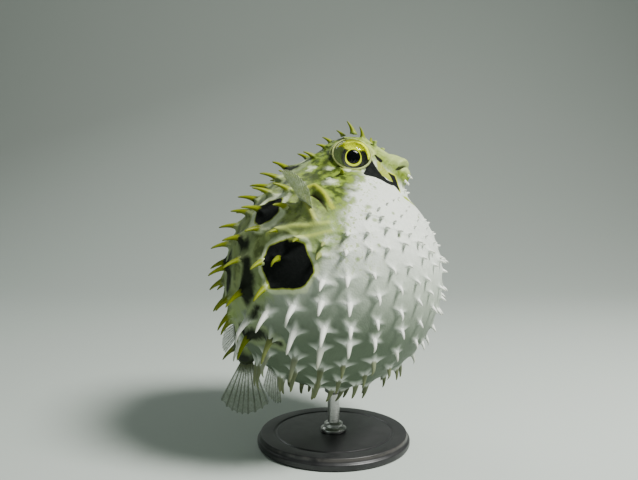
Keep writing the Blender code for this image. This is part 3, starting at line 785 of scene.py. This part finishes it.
# ---------------------------------------------------------------- building with nodes

def paint(red, green, blue):
    """A colour given as it shows on a screen, from 0 to 255, in the shader's linear numbers."""
    parts = np.array([red, green, blue]) / 255.0
    linear = np.where(parts <= 0.04045, parts / 12.92, ((parts + 0.055) / 1.055) ** 2.4)
    return (*[float(v) for v in linear], 1.0)


class Wire:
    """A node's output, which works in sums as a number or a vector does."""

    def __init__(self, nodes, socket):
        self.nodes, self.socket = nodes, socket

    def beside(self, give):
        """Another output of the same node, by its name or number."""
        return Wire(self.nodes, self.socket.node.outputs[give])

    def __add__(self, other):
        return sums("ADD", self, other)

    def __sub__(self, other):
        return sums("SUBTRACT", self, other)

    def __rsub__(self, other):
        return sums("SUBTRACT", other, self)

    def __mul__(self, factor):
        if self.socket.type == "VALUE":
            return sums("MULTIPLY", self, factor)
        return self.nodes.add("ShaderNodeVectorMath", {0: self, "Scale": factor}, operation="SCALE")

    def __abs__(self):
        return sums("ABSOLUTE", self)

    def length(self):
        return sums("LENGTH", self)

    def ease(self, low, high, start=0.0, stop=1.0):
        """From start to stop while this goes from low to high, with a smooth step."""
        limits = {"Value": self, "From Min": low, "From Max": high, "To Min": start, "To Max": stop}
        return self.nodes.add("ShaderNodeMapRange", limits, interpolation_type="SMOOTHSTEP")

    def blend(self, under, over):
        """One colour, and another laid over it by this share; three numbers are a screen colour."""
        under, over = (paint(*tone) if isinstance(tone, tuple) and len(tone) == 3 else tone
                       for tone in (under, over))
        return self.nodes.add("ShaderNodeMix", {"Factor": self, 6: under, 7: over}, 2,
                              data_type="RGBA", clamp_factor=True)

    def noise(self, scale, detail=2.0, rough=0.5, give="Fac"):
        """Noise at the place that this vector gives; its Color is three noises in one."""
        return self.nodes.add("ShaderNodeTexNoise", {"Vector": self, "Scale": scale,
                                                     "Detail": detail, "Roughness": rough}, give)


def sums(operation, *terms, **settings):
    """A maths node on its terms: on vectors where the first wire among them is no number."""
    wire = next(term for term in terms if isinstance(term, Wire))
    kind = "ShaderNodeMath" if wire.socket.type == "VALUE" else "ShaderNodeVectorMath"
    numeric = kind == "ShaderNodeMath" or operation in ("DOT_PRODUCT", "LENGTH")
    return wire.nodes.add(kind, dict(enumerate(terms)), "Value" if numeric else "Vector",
                          operation=operation, **settings)


def merged(operation, wires, *more):
    """One wire from many, joined two by two."""
    best = wires[0]
    for wire in wires[1:]:
        best = sums(operation, best, wire, *more)
    return best


class Nodes:
    """A node tree, with short calls for what its finishes start from."""

    def __init__(self, tree):
        self.tree = tree

    def add(self, kind, inputs=None, give=0, **settings):
        """One output of a new node with the given inputs and settings."""
        node = self.tree.nodes.new(kind)
        for key, value in settings.items():
            setattr(node, key, value)
        for key, value in (inputs or {}).items():
            self.feed(node.inputs[key], value)
        return Wire(self, node.outputs[give])

    def feed(self, socket, value):
        if isinstance(value, Wire):
            self.tree.links.new(value.socket, socket)
        else:
            socket.default_value = value

    def parts(self, vector):
        first = self.add("ShaderNodeSeparateXYZ", {0: vector})
        return first, first.beside(1), first.beside(2)

    def join(self, x, y, z):
        return self.add("ShaderNodeCombineXYZ", {0: x, 1: y, 2: z})

    def mark(self, name, give="Fac"):
        return self.add("ShaderNodeAttribute", {}, give, attribute_name=name)

    def bump(self, height, strength, distance):
        return self.add("ShaderNodeBump",
                        {"Height": height, "Strength": strength, "Distance": distance})

    def effect(self, tree, give, **inputs):
        """An output of a shared effect; an underscore in an input's name stands for a space."""
        inputs = {key.replace("_", " "): value for key, value in inputs.items()}
        return self.add("ShaderNodeGroup", inputs, give, node_tree=tree)


def make_effect(name, inputs, outputs, recipe):
    """A shared effect: its recipe is handed the tree and its inputs, and gives its outputs."""
    tree = bpy.data.node_groups.new(name, "ShaderNodeTree")
    for direction, sockets in (("INPUT", inputs), ("OUTPUT", outputs)):
        for label, kind in sockets.items():
            tree.interface.new_socket(name=label, in_out=direction,
                                      socket_type="NodeSocket" + kind)
    n = Nodes(tree)
    start, end = tree.nodes.new("NodeGroupInput"), tree.nodes.new("NodeGroupOutput")
    put = {socket.name: Wire(n, socket) for socket in start.outputs if socket.name}
    for label, value in recipe(n, put).items():
        n.feed(end.inputs[label], value)
    return tree


def make_look(name, recipe, *details):
    """A material: its recipe gives what each socket of the Principled shader is fed."""
    look = bpy.data.materials.new(name)
    look.use_nodes = True
    n = Nodes(look.node_tree)
    for label, value in recipe(n, *details).items():
        n.feed(look.node_tree.nodes["Principled BSDF"].inputs[label], value)
    return look


# ---------------------------------------------------------------- shared effects

def stroke(n, put):
    """Distance to a tapered stroke: to its middle line, less a radius that changes along it."""
    axis, away = put["To"] - put["From"], put["Place"] - put["From"]
    whole = sums("MAXIMUM", sums("DOT_PRODUCT", axis, axis), 1e-6)
    share = sums("DIVIDE", sums("DOT_PRODUCT", away, axis), whole, use_clamp=True)
    swell = share * (put["To Radius"] - put["From Radius"])
    return {"Distance": (away - axis * share).length() - (put["From Radius"] + swell)}


def grain(n, put):
    """Height of the skin's fine creases and pores, in place coordinates of mm."""
    place = put["Place"] * put["Scale"]
    cells = n.add("ShaderNodeTexVoronoi", {"Vector": place, "Scale": 1.1}, feature="SMOOTH_F1")
    return {"Height": place.noise(0.55, 3.0, 0.6) * 0.7 + cells.ease(0.1, 0.7) * 0.3}


STROKE = make_effect("stroke", {"Place": "Vector", "From": "Vector", "To": "Vector",
                                "From Radius": "Float", "To Radius": "Float"},
                     {"Distance": "Float"}, stroke)
GRAIN = make_effect("skin grain", {"Place": "Vector", "Scale": "Float"}, {"Height": "Float"},
                    grain)


def chain(place, stops):
    """Distance to strokes joined end to end; each stop is x, y, z and the radius there."""
    return merged("MINIMUM", [
        place.nodes.effect(STROKE, "Distance", Place=place, From=a[:3], To=b[:3],
                           From_Radius=a[3], To_Radius=b[3])
        for a, b in zip(stops[:-1], stops[1:])])


def plate(place, centre, bearings):
    """Distance to a rounded plate on the skin, bounded at each bearing by a reach in mm.

    Bearings are degrees from the way to the tail, turning up to the back.
    """
    out = unit(centre)
    tailward = unit(np.array([-1.0, 0, 0]) + out[0] * out)
    up = np.cross(tailward, out)
    up = up * np.sign(up[2])
    away = place - centre
    past = []
    for bearing, reach in bearings:
        turn = math.radians(bearing)
        way = tailward * math.cos(turn) + up * math.sin(turn)
        past.append(sums("DOT_PRODUCT", away, tuple(way)) - reach)
    return merged("SMOOTH_MAX", past, PLATE_ROUND)


# Markings and painted shadows, in mirrored places of the fish's frame: each stop is x, y, z and a
# radius, mm
BLOTCHES = (  # middle, bearings and reaches, ring's width and tone
    ((10.5, 60.5, 37.0), ((-15.6, 9.4), (42, 9.7), (85, 9.6), (137, 9.8), (217, 8.9),
                          (265, 9.3), (291, 9.3)), 7.0, (216, 226, 188)),
    ((-3.0, 71.0, -1.5), ((12, 14.8), (65, 15.7), (116, 15.6), (149, 14.4), (207, 13.9),
                          (263.5, 15.6), (317, 13.5)), 4.2, (208, 220, 178)),
)
DARK_FLANK = (((-13.0, 59.9, 38.0, 4.5), (-15.0, 63.8, 30.4, 5.0)),
              ((-20.0, 65.1, 24.2, 4.0), (-27.4, 64.7, 15.5, 6.5), (-35.0, 62.6, 8.5, 6.0)),
              ((-29.5, 49.7, 43.8, 4.5), (-38.0, 51.9, 34.2, 4.5), (-48.0, 47.3, 28.4, 4.5)),
              ((-57.0, 46.0, 4.0, 5.0), (-47.7, 54.2, -10.8, 3.6), (-44.0, 53.6, -22.5, 2.0)),
              ((-33.0, 64.4, -3.0, 2.0), (-40.0, 61.0, -2.0, 2.6)))
# painted shadow along the tail's root, where the peduncle leaves the ball
TAIL_ROOT_SHADOW = ((-84.0, 5.5, 10.7, 2.5), (-79.0, 9.0, 4.0, 3.2), (-72.0, 18.4, -10.0, 2.2))
DARK_BACK = (((36.0, 30.0, 61.0, 7.0), (33.0, 0.0, 68.0, 9.0)),
             ((2.0, 28.0, 67.0, 9.0), (-6.0, 16.0, 70.0, 8.0)),
             ((-34.0, 32.0, 55.0, 9.0), (-44.0, 20.0, 52.0, 8.0)),
             ((-68.0, 10.0, 32.0, 9.0), (-72.0, 0.0, 30.0, 9.0)))
CHEEK_PATCH = ((75.3, 18.6, 24.6, 2.0), (72.2, 19.5, 20.2, 3.7), (71.0, 19.9, 16.4, 4.3),
               (70.8, 20.2, 12.9, 3.6), (71.5, 17.6, 7.9, 2.1), (72.2, 15.1, 6.0, 1.9),
               (73.2, 12.3, 5.2, 1.6), (72.8, 10.6, 2.6, 1.2), (71.9, 10.5, -0.7, 0.4))
CHEEK_CORNER = ((71.5, 20.5, 20.5, 3.5), (67.0, 26.4, 18.0, 1.9), (69.4, 22.2, 14.2, 1.9))
CHEEK_BLADE = ((76.4, 12.6, 12.2, 0.5), (76.3, 10.7, 8.8, 1.8), (74.9, 10.2, 5.5, 2.2),
               (73.2, 9.5, 2.2, 1.6), (72.0, 10.2, -0.8, 0.3))
CHEEK_STREAK = ((77.6, 14.4, 22.0, 1.3), (75.6, 14.8, 17.6, 2.4), (74.6, 14.8, 12.9, 3.0),
                (74.8, 13.0, 9.6, 2.8))
SNOUT_SLIT = ((80.0, 13.3, 27.6, 0.8), (79.5, 13.0, 24.4, 1.5), (79.4, 12.8, 22.4, 1.3))
PALE_SPOTS = ((49.0, 46.9, 23.6, 4.2), (46.7, 35.9, 46.6, 3.4), (36.1, 49.6, 37.2, 3.0),
              (55.1, 35.1, 38.0, 3.2), (46.4, 20.8, 62.9, 3.0), (62.0, 31.0, 27.0, 3.0),
              (30.0, 32.0, 59.0, 3.0))
# painted shadows behind and below the eye, where the socket is in shade
HEAD_PAINTED_SHADOWS = (((57.5, 30.5, 45.5, 1.6), (53.0, 34.0, 41.5, 2.6), (50.0, 40.0, 34.0, 1.4)),
               ((42.6, 41.2, 42.6, 2.0), (45.5, 46.1, 30.5, 1.6), (47.0, 50.5, 17.0, 1.2)),
               ((50.4, 49.1, 14.2, 1.4), (54.3, 46.3, 8.1, 1.4)))
CHIN_SPOT = ((70.8, 10.4, -6.6, 2.2), (71.4, 6.2, -7.4, 2.9), (71.6, 1.5, -10.5, 1.2))
# painted shadows that the small throat spines cast, x, y, z and radius
THROAT_SPINE_SHADOWS = ((63.9, 32.7, 4.8, 1.6), (52.5, 48.4, -7.4, 2.0), (32.2, 62.3, -15.2, 1.8),
                 (22.5, 66.9, -12.4, 2.4), (26.1, 60.3, -28.7, 1.4), (59.1, 36.7, -17.8, 1.3),
                 (49.3, 49.5, -16.3, 1.5), (67.0, 24.1, -10.1, 1.1), (67.0, 12.3, -23.2, 1.2),
                 (37.8, 60.7, -5.5, 1.8), (51.3, 39.8, -30.8, 1.3), (39.9, 51.8, -29.5, 1.3))
FOLD_TONES = ((GILL_RIDGE, 1.4, (178, 186, 50)), (FIN_LOBE, 1.6, (176, 184, 90)),
              (UPPER_FOLD, 1.1, (180, 194, 96)), (LOWER_FOLD, 0.9, (182, 194, 92)))
LID_BANDS = ((2.0, 12.5, (96, 110, 0)), (14.0, 18.0, (178, 190, 112)))  # degrees from the rim
BLACK, DARK = (5, 10, 8), (34, 40, 28)
OLIVE, FLANK = (98, 110, 62), (140, 160, 96)
WHITE, PALE = (232, 238, 228), (214, 226, 190)
SPINE_YELLOW = (126, 138, 12)

HALF = (0.5, 0.5, 0.5)
WANDER = 3.2  # how far noise carries an edge astray, mm
# the height along this way sets the painted shade on the lower belly and on the lowest spines
BELLY_UP = (0.76, 0.0, 0.64)  # the way up the belly in this pose
PLATE_ROUND = 3.0  # how round a blotch's corners are, mm


class SkinPlace:
    """A place on the body, and the noises, heights and masks that several markings share."""

    def __init__(self, n, place):
        self.x_still, y, self.z_still = n.parts(place)
        self.still = n.join(self.x_still, abs(y), self.z_still)
        self.place = self.still + (self.still.noise(0.13, give="Color") - HALF) * WANDER
        self.x, _, self.z = n.parts(self.place)
        self.mottle = self.still.noise(0.11, 3.0, 0.6)
        self.fine = self.still.noise(0.42, 2.0, 0.55)
        self.rough = self.still.noise(0.26, 3.0, 0.65) - 0.5
        self.height = sums("DOT_PRODUCT", self.still, BELLY_UP)
        edge = self.x.ease(24.0, 77.0, -14.5, 26.0) + self.x.ease(0.0, -60.0, 0.0, 26.0)
        self.above = self.z - edge + (self.mottle - 0.5) * 30.0
        self.flank = self.above.ease(-7.0, 8.0)
        self.blacks = []

    def blacken(self, colour, share, tone):
        """A dark tone laid over a colour, and its share kept for the spines that grow there."""
        self.blacks.append(share)
        return share.blend(colour, tone)


def ground_colours(at, rise):
    """A white belly with painted shade low down in this pose and in the valleys between the tents, a
    yellow-green flank, an olive back.
    """
    # painted shade: greyer low down in this pose and darker still towards the bottom, white where the
    # tents rise
    shaded_belly = at.height.ease(18.0, -16.0).blend((226, 231, 221), (184, 194, 178))
    shaded_belly = at.height.ease(-4.0, -48.0).blend(shaded_belly, (94, 108, 88))
    belly = rise.ease(0.12, 0.90).blend(shaded_belly, WHITE)
    upper = (at.mottle.ease(0.40, 0.58) * 0.8).blend(OLIVE, (150, 165, 102))
    colour = at.flank.blend(belly, at.above.ease(6.0, 22.0).blend(FLANK, upper))
    speckled = at.above.ease(-38.0, -4.0) * at.x.ease(5.0, 30.0) * at.fine.ease(0.54, 0.66, 0.0, 0.75)
    return speckled.blend(colour, (136, 160, 62))


def head_colours(at, colour):
    """A deeper olive, netted round pale spots, with a pale snout and strokes of painted shadow behind
    the eye.
    """
    snout = at.x.ease(72.0, 80.0)
    net = at.still.noise(0.22).ease(0.38, 0.62).blend((58, 74, 14), (122, 144, 48))
    colour = (at.x.ease(30.0, 46.0) * at.flank * (1.0 - snout)).blend(colour, net)
    bare = at.fine.ease(0.30, 0.70).blend((108, 128, 30), (138, 158, 62))
    bare = at.x.ease(81.0, 87.0).blend(bare, (172, 188, 116))
    colour = snout.blend(colour, bare)
    for *centre, size in PALE_SPOTS:
        gap = (at.place - centre).length() + at.rough * (size * 2.6)
        colour = gap.ease(size * 1.5, size * 0.2).blend(colour, PALE)
    # painted shadow strokes behind the eye
    for stops in HEAD_PAINTED_SHADOWS:
        shade = chain(at.place, stops).ease(2.4, -1.6, 0.0, 0.75)
        colour = shade.blend(colour, (50, 60, 18))
    return colour


def dark_patches(at, colour):
    """Patches in pale surrounds on the back and flanks, painted shadow at the tail's root and on the
    peduncle, and the two blotches.
    """
    drift = at.still.noise(0.055, give="Color") - HALF
    for patches, astray in ((DARK_FLANK, 9.0), (DARK_BACK, 26.0)):
        place = at.place + drift * astray
        for stops in patches:
            far = chain(place, stops) + at.rough * 4.0
            colour = far.ease(6.0, 2.0, 0.0, 0.6).blend(colour, (150, 166, 116))
            colour = at.blacken(colour, far.ease(2.4, -2.4), DARK)
    # painted shadow at the tail's root, then painted shade over the end of the peduncle
    colour = chain(at.place, TAIL_ROOT_SHADOW).ease(0.8, -0.8).blend(colour, (12, 15, 10))
    colour = at.x.ease(-76.0, -82.0, 0.0, 0.85).blend(colour, (40, 46, 32))
    for centre, bearings, ring, pale in BLOTCHES:
        far = plate(at.place, centre, bearings)
        colour = far.ease(ring, ring * 0.6, 0.0, 0.9).blend(colour, pale)
        colour = far.ease(1.3, 0.5).blend(colour, (150, 164, 52))
        colour = at.blacken(colour, far.ease(0.45, -0.25), BLACK)
    return colour


def fold_colours(at, colour):
    """Yellow-green folds behind the gill and the pad of the fin, with painted shade in the gill slit.
    """
    for path, radius, tone in FOLD_TONES:
        far = chain(at.still, [(*point, radius) for point in path])
        colour = far.ease(1.2, -1.2, 0.0, 0.85).blend(colour, tone)
    # painted shade in the gill slit
    return chain(at.still, GILL_SLIT).ease(0.8, -0.8).blend(colour, (44, 42, 16))


def face_colours(at, colour, lid):
    """Lids, the mask below the eye, the snout's slit, painted shade along the mouth's groove and in
    the eye's socket, and the chin's spot.

    The mask is two black blades with a yellow streak between them.
    """
    for low, high, tone in LID_BANDS:
        middle, half = (low + high) / 2, (high - low) / 2
        ringed = abs(lid - middle).ease(half + 1.5, half - 1.5, 0.0, 0.85)
        colour = ringed.blend(colour, tone)
        at.blacks.append(ringed * 0.8)
    blades = [chain(at.still, stops) for stops in (CHEEK_PATCH, CHEEK_CORNER, CHEEK_BLADE)]
    colour = blades[-1].ease(1.3, 0.4).blend(colour, (186, 198, 30))
    colour = chain(at.still, CHEEK_STREAK).ease(0.5, -0.4).blend(colour, (146, 158, 0))
    colour = at.blacken(colour, merged("MINIMUM", blades).ease(0.35, -0.35), (6, 11, 9))
    colour = at.blacken(colour, chain(at.still, SNOUT_SLIT).ease(0.4, -0.4), (6, 8, 5))
    # painted shade along the mouth's groove
    mouth = abs(at.z_still - MOUTH_Z).ease(0.95, 0.45) * at.x_still.ease(80.0, 82.0, 0.0, 0.95)
    colour = mouth.blend(colour, (30, 36, 14))
    chin = chain(at.place, CHIN_SPOT) + at.rough * 3.6
    colour = chin.ease(1.3, -1.1, 0.0, 0.95).blend(colour, (158, 178, 8))
    colour = lid.ease(5.2, 3.8).blend(colour, (150, 160, 96))
    # painted shade inside the lids, on the skin that lines the socket
    return lid.ease(0.6, -0.6).blend(colour, (30, 34, 18))


def markings(n, put):
    """The burrfish's colours, with painted light and shade, from a place on its body, how far skin is
    drawn up, and a spine's tip.
    """
    at, rise, tip = SkinPlace(n, put["Place"]), put["Rise"], put["Tip"]
    colour = head_colours(at, ground_colours(at, rise))
    colour = fold_colours(at, dark_patches(at, colour))
    colour = face_colours(at, colour, put["Lid"])
    # painted shadows of the small throat spines
    for *centre, size in THROAT_SPINE_SHADOWS:
        spine_shadow = (at.place - centre).length().ease(size * 1.5, size * 0.3, 0.0, 0.75)
        colour = spine_shadow.blend(colour, (112, 136, 62))

    # painted light: drawn-up skin on the tents is paler, as if lit on its ridges; spines are white
    # below and yellow-olive above
    covered = merged("MAXIMUM", at.blacks)
    lift = rise.ease(0.45, 1.0) * (0.9 - covered) * at.flank.ease(0.0, 1.0, 0.65, 0.42)
    colour = lift.blend(colour, at.flank.blend((248, 250, 244), (196, 206, 130)))
    horn = merged("MAXIMUM", [at.above.ease(-4.0, 7.0), covered]).blend((246, 248, 240), SPINE_YELLOW)
    # painted shade: spines lowest in this pose turn dark olive
    horn = at.height.ease(-40.0, -56.0, 0.0, 0.9).blend(horn, (84, 96, 34))
    horn = tip.ease(0.6, 1.0, 0.0, 0.35).blend(horn, (96, 104, 40))
    colour = tip.ease(0.10, 0.34).blend(colour, horn)

    # a light, uneven soiling darkens all of it
    return {"Colour": colour * at.fine.ease(0.25, 0.75, 0.90, 1.0),
            "Roughness": at.fine.ease(0.3, 0.7, 0.44, 0.58) + covered * 0.45}


MARKINGS = make_effect("burrfish markings",
                       {"Place": "Vector", "Rise": "Float", "Tip": "Float", "Lid": "Float"},
                       {"Colour": "Color", "Roughness": "Float"}, markings)


# ---------------------------------------------------------------- finishes

def flesh(n, scale, depth):
    """Painted skin: the markings by place, a satin surface and fine grain."""
    place = n.mark("place", "Vector")
    colour = n.effect(MARKINGS, "Colour", Place=place, Rise=n.mark("rise"), Tip=n.mark("tip"),
                      Lid=n.mark("lid"))
    height = n.effect(GRAIN, "Height", Place=place, Scale=scale)
    return {"Base Color": colour, "Roughness": colour.beside("Roughness"),
            "Specular IOR Level": 0.28, "Normal": n.bump(height, 0.35, depth)}


def fin_web(n, clearest, fullest, dull, bright):
    """A clear web between pale jointed rays, thinner towards its edge."""
    ray, reach = n.mark("ray"), n.mark("out")
    streak = n.mark("place", "Vector").noise(0.5, 3.0, 0.6)
    web = streak.ease(0.3, 0.7).blend(dull, bright)
    colour = ray.ease(0.35, 0.9).blend(web, (96, 106, 78))
    colour = reach.ease(0.25, 0.0).blend(colour, (84, 92, 58))
    thick = ray.ease(0.45, 0.95) * reach.ease(1.0, 0.4, 0.25, 0.75)
    solid = merged("MAXIMUM", [thick, reach.ease(0.30, 0.0)])
    cover = sums("ADD", streak.ease(0.2, 0.8, clearest, fullest), solid * 0.75, use_clamp=True)
    joints = sums("SINE", reach * 130.0)
    return {"Base Color": colour, "Alpha": cover, "Roughness": streak.ease(0.2, 0.8, 0.30, 0.45),
            "Normal": n.bump(joints * ray, 0.25, 0.0002)}


def eyeball(n):
    """A black lens in a yellow ring, a yellow crescent over it and dark sides, by iris place."""
    x, y, _ = n.parts(n.mark("iris", "Vector"))
    flat = n.join(x, y, 0.0)
    far = flat.length()
    fibres = n.join(sums("ARCTAN2", y, x) * 7.0, far * 0.5, 0.0).noise(1.6, 3.0, 0.6)
    flecks = flat.noise(0.9, 3.0, 0.6)
    yellow = fibres.ease(0.3, 0.6).blend((150, 162, 0), (214, 226, 0))
    dark = flecks.ease(0.45, 0.75).blend((10, 14, 10), (52, 60, 34))
    side = far.ease(7.2, 9.2) * x.ease(-1.0, -5.0)
    dark = side.blend(dark, flecks.blend((84, 104, 52), (132, 150, 96)))
    height = y + (flecks - 0.5) * 2.0
    edge = far.ease(8.2, 9.6) * x.ease(3.0, 7.0, 0.0, 5.5)
    crescent = height + (edge + x.ease(-10.0, -1.0, -2.4, 0.0))
    colour = crescent.ease(3.4, 4.8).blend(dark, yellow)
    colour = height.ease(8.8, 10.4).blend(colour, (104, 114, 8))
    ring = y.ease(1.0, -4.0, 0.0, 0.8) + 5.1
    colour = (far - ring).ease(0.35, 0.0).blend(colour, (188, 204, 0))
    colour = far.ease(4.85, 4.6).blend(colour, (3, 5, 6))
    # painted light: the iris glows faintly in its own colours, lifting it out of the brow's shade
    return {"Base Color": colour, "Emission Color": colour, "Emission Strength": 0.25,
            "Specular IOR Level": 0.2, "Roughness": far.ease(4.5, 5.0, 0.08, 0.60),
            "Normal": n.bump(fibres, 0.2, 0.0003)}


def clear_front(n):
    """A clear skin over the iris that shows only what it mirrors."""
    return {"Base Color": (1, 1, 1, 1), "Metallic": 1.0, "Roughness": 0.04,
            "Alpha": n.add("ShaderNodeFresnel", {"IOR": 1.22})}


def lacquer(n):
    """Satin black lacquer on turned wood: faint rings, soft dust and a rubbed edge."""
    where = n.add("ShaderNodeTexCoord", give="Object")
    x, y, z = n.parts(where)
    radius = n.join(x, y, 0.0).length()
    dust = where.noise(60.0, 4.0, 0.6)
    rubbed = (radius.ease(BASE_R - 0.0028, BASE_R - 0.0018)
              * z.ease(BASE_TALL - 0.0028, BASE_TALL - 0.0012) * dust.ease(0.4, 0.6))
    colour = dust.ease(0.35, 0.75).blend((0.012, 0.012, 0.013, 1), (0.030, 0.030, 0.031, 1))
    return {"Base Color": rubbed.blend(colour, (0.07, 0.065, 0.06, 1)),
            "Roughness": dust.ease(0.3, 0.7, 0.28, 0.42),
            "Normal": n.bump(sums("SINE", radius * 9000.0) + dust, 0.08, 0.0002)}


def steel(n):
    """Brushed steel: fine lines round the rod that vary its colour, roughness and height."""
    x, y, z = n.parts(n.add("ShaderNodeTexCoord", give="Object"))
    brushed = n.join(x * 40.0, y * 40.0, z * 5200.0).noise(1.0, 2.0, 0.6)
    return {"Base Color": brushed.blend((0.42, 0.42, 0.41, 1), (0.62, 0.62, 0.60, 1)),
            "Metallic": 1.0, "Roughness": brushed.ease(0.2, 0.8, 0.22, 0.38),
            "Normal": n.bump(brushed, 0.1, 0.0001)}


def stage_paper(n):
    """Plain pale paper."""
    return {"Base Color": paint(192, 200, 193), "Roughness": 0.9}


# ---------------------------------------------------------------- stage, light and camera

def add_stage():
    """A floor that curves up into a backdrop, in one plain pale colour."""
    wide, front, back, tall, bend = 3.0, -1.6, 1.5, 2.2, 0.9
    curve = [(back - bend + bend * math.sin(a), bend - bend * math.cos(a))
             for a in np.radians(np.linspace(0.0, 90.0, 25))]
    path = np.array([(front, 0.0)] + curve + [(back, tall)])
    count = len(path)
    points = np.concatenate([np.column_stack([np.full(count, x), path]) for x in (-wide, wide)])
    j = np.arange(count - 1)
    quads = np.stack([j, j + count, j + count + 1, j + 1], axis=-1)
    mesh = bpy.data.meshes.new("stage")
    mesh.from_pydata(points.tolist(), [], quads.tolist())
    mesh.shade_smooth()
    mesh.materials.append(make_look("stage_paper", stage_paper))
    stage = bpy.data.objects.new("stage", mesh)
    bpy.context.scene.collection.objects.link(stage)


def add_light(name, place, size, power, colour):
    """A round soft light, aimed at the middle of the body."""
    lamp = bpy.data.lights.new(name, "AREA")
    lamp.shape = "DISK"
    lamp.size = size
    lamp.energy = power
    lamp.color = colour
    made = bpy.data.objects.new(name, lamp)
    made.location = place
    way = Vector((0.0, 0.0, BALL_HEIGHT)) - Vector(place)
    made.rotation_euler = way.to_track_quat("-Z", "Y").to_euler()
    bpy.context.scene.collection.objects.link(made)


def add_lights():
    """A soft key from above on the right, a weak fill from the left and a pale room."""
    add_light("key", (0.52, -0.27, 0.86), 0.30, 20.0, (1.0, 1.0, 0.97))
    add_light("fill", (-0.9, -0.7, 0.30), 0.8, 0.95, (0.86, 1.0, 0.92))
    add_light("back", (-0.5, 0.7, 0.9), 0.6, 2.5, (0.92, 1.0, 0.97))
    world = bpy.data.worlds.new("room")
    world.use_nodes = True
    ground = world.node_tree.nodes["Background"]
    ground.inputs["Color"].default_value = (0.74, 0.88, 0.80, 1.0)
    ground.inputs["Strength"].default_value = 0.10
    bpy.context.scene.world = world


CAMERA_AWAY, CAMERA_UP = 0.480, 8.0  # metres to the middle of the body, degrees above it
CAMERA_DIP, CAMERA_TURN = 5.025, 1.2  # how far it looks down and to the left, degrees
CAMERA_LENS = 40.18


def add_camera():
    """The camera looks along +Y from just above the body's middle."""
    lens = bpy.data.cameras.new("camera")
    lens.lens, lens.sensor_width = CAMERA_LENS, 36.0
    lens.clip_start, lens.clip_end = 0.01, 20.0
    made = bpy.data.objects.new("camera", lens)
    up = math.radians(CAMERA_UP)
    made.location = (0.0, -CAMERA_AWAY * math.cos(up), BALL_HEIGHT + CAMERA_AWAY * math.sin(up))
    made.rotation_euler = (math.radians(90.0 - CAMERA_DIP), 0.0, math.radians(CAMERA_TURN))
    bpy.context.scene.collection.objects.link(made)
    bpy.context.scene.camera = made


# ---------------------------------------------------------------- the whole model

def build():
    foot = cast(np.zeros((1, 3)), (POSE.T @ np.array([0, 0, -1.0]))[None])[0]
    frames = spine_frames(large_spines(foot) + throat_spines())
    spine_look = make_look("burrfish_spine", flesh, 2.0, 0.0003)
    add_skin(frames, make_look("burrfish_skin", flesh, 1.0, 0.0006))
    add_spines(frames, spine_look)
    clear = make_look("fin_web", fin_web, 0.20, 0.42, (112, 126, 96), (152, 164, 136))
    cloudy = make_look("pectoral_web", fin_web, 0.48, 0.64, (188, 204, 148), (230, 238, 210))
    for fin in FINS:
        add_fin(fin, cloudy if fin.startswith("pectoral") else clear)
    add_eyes(make_look("eye_iris", eyeball), make_look("eye_front", clear_front))
    add_nostrils(spine_look)
    add_stand(make_look("black_lacquer", lacquer), make_look("brushed_steel", steel), foot)
    add_stage()
    add_lights()
    add_camera()


build()
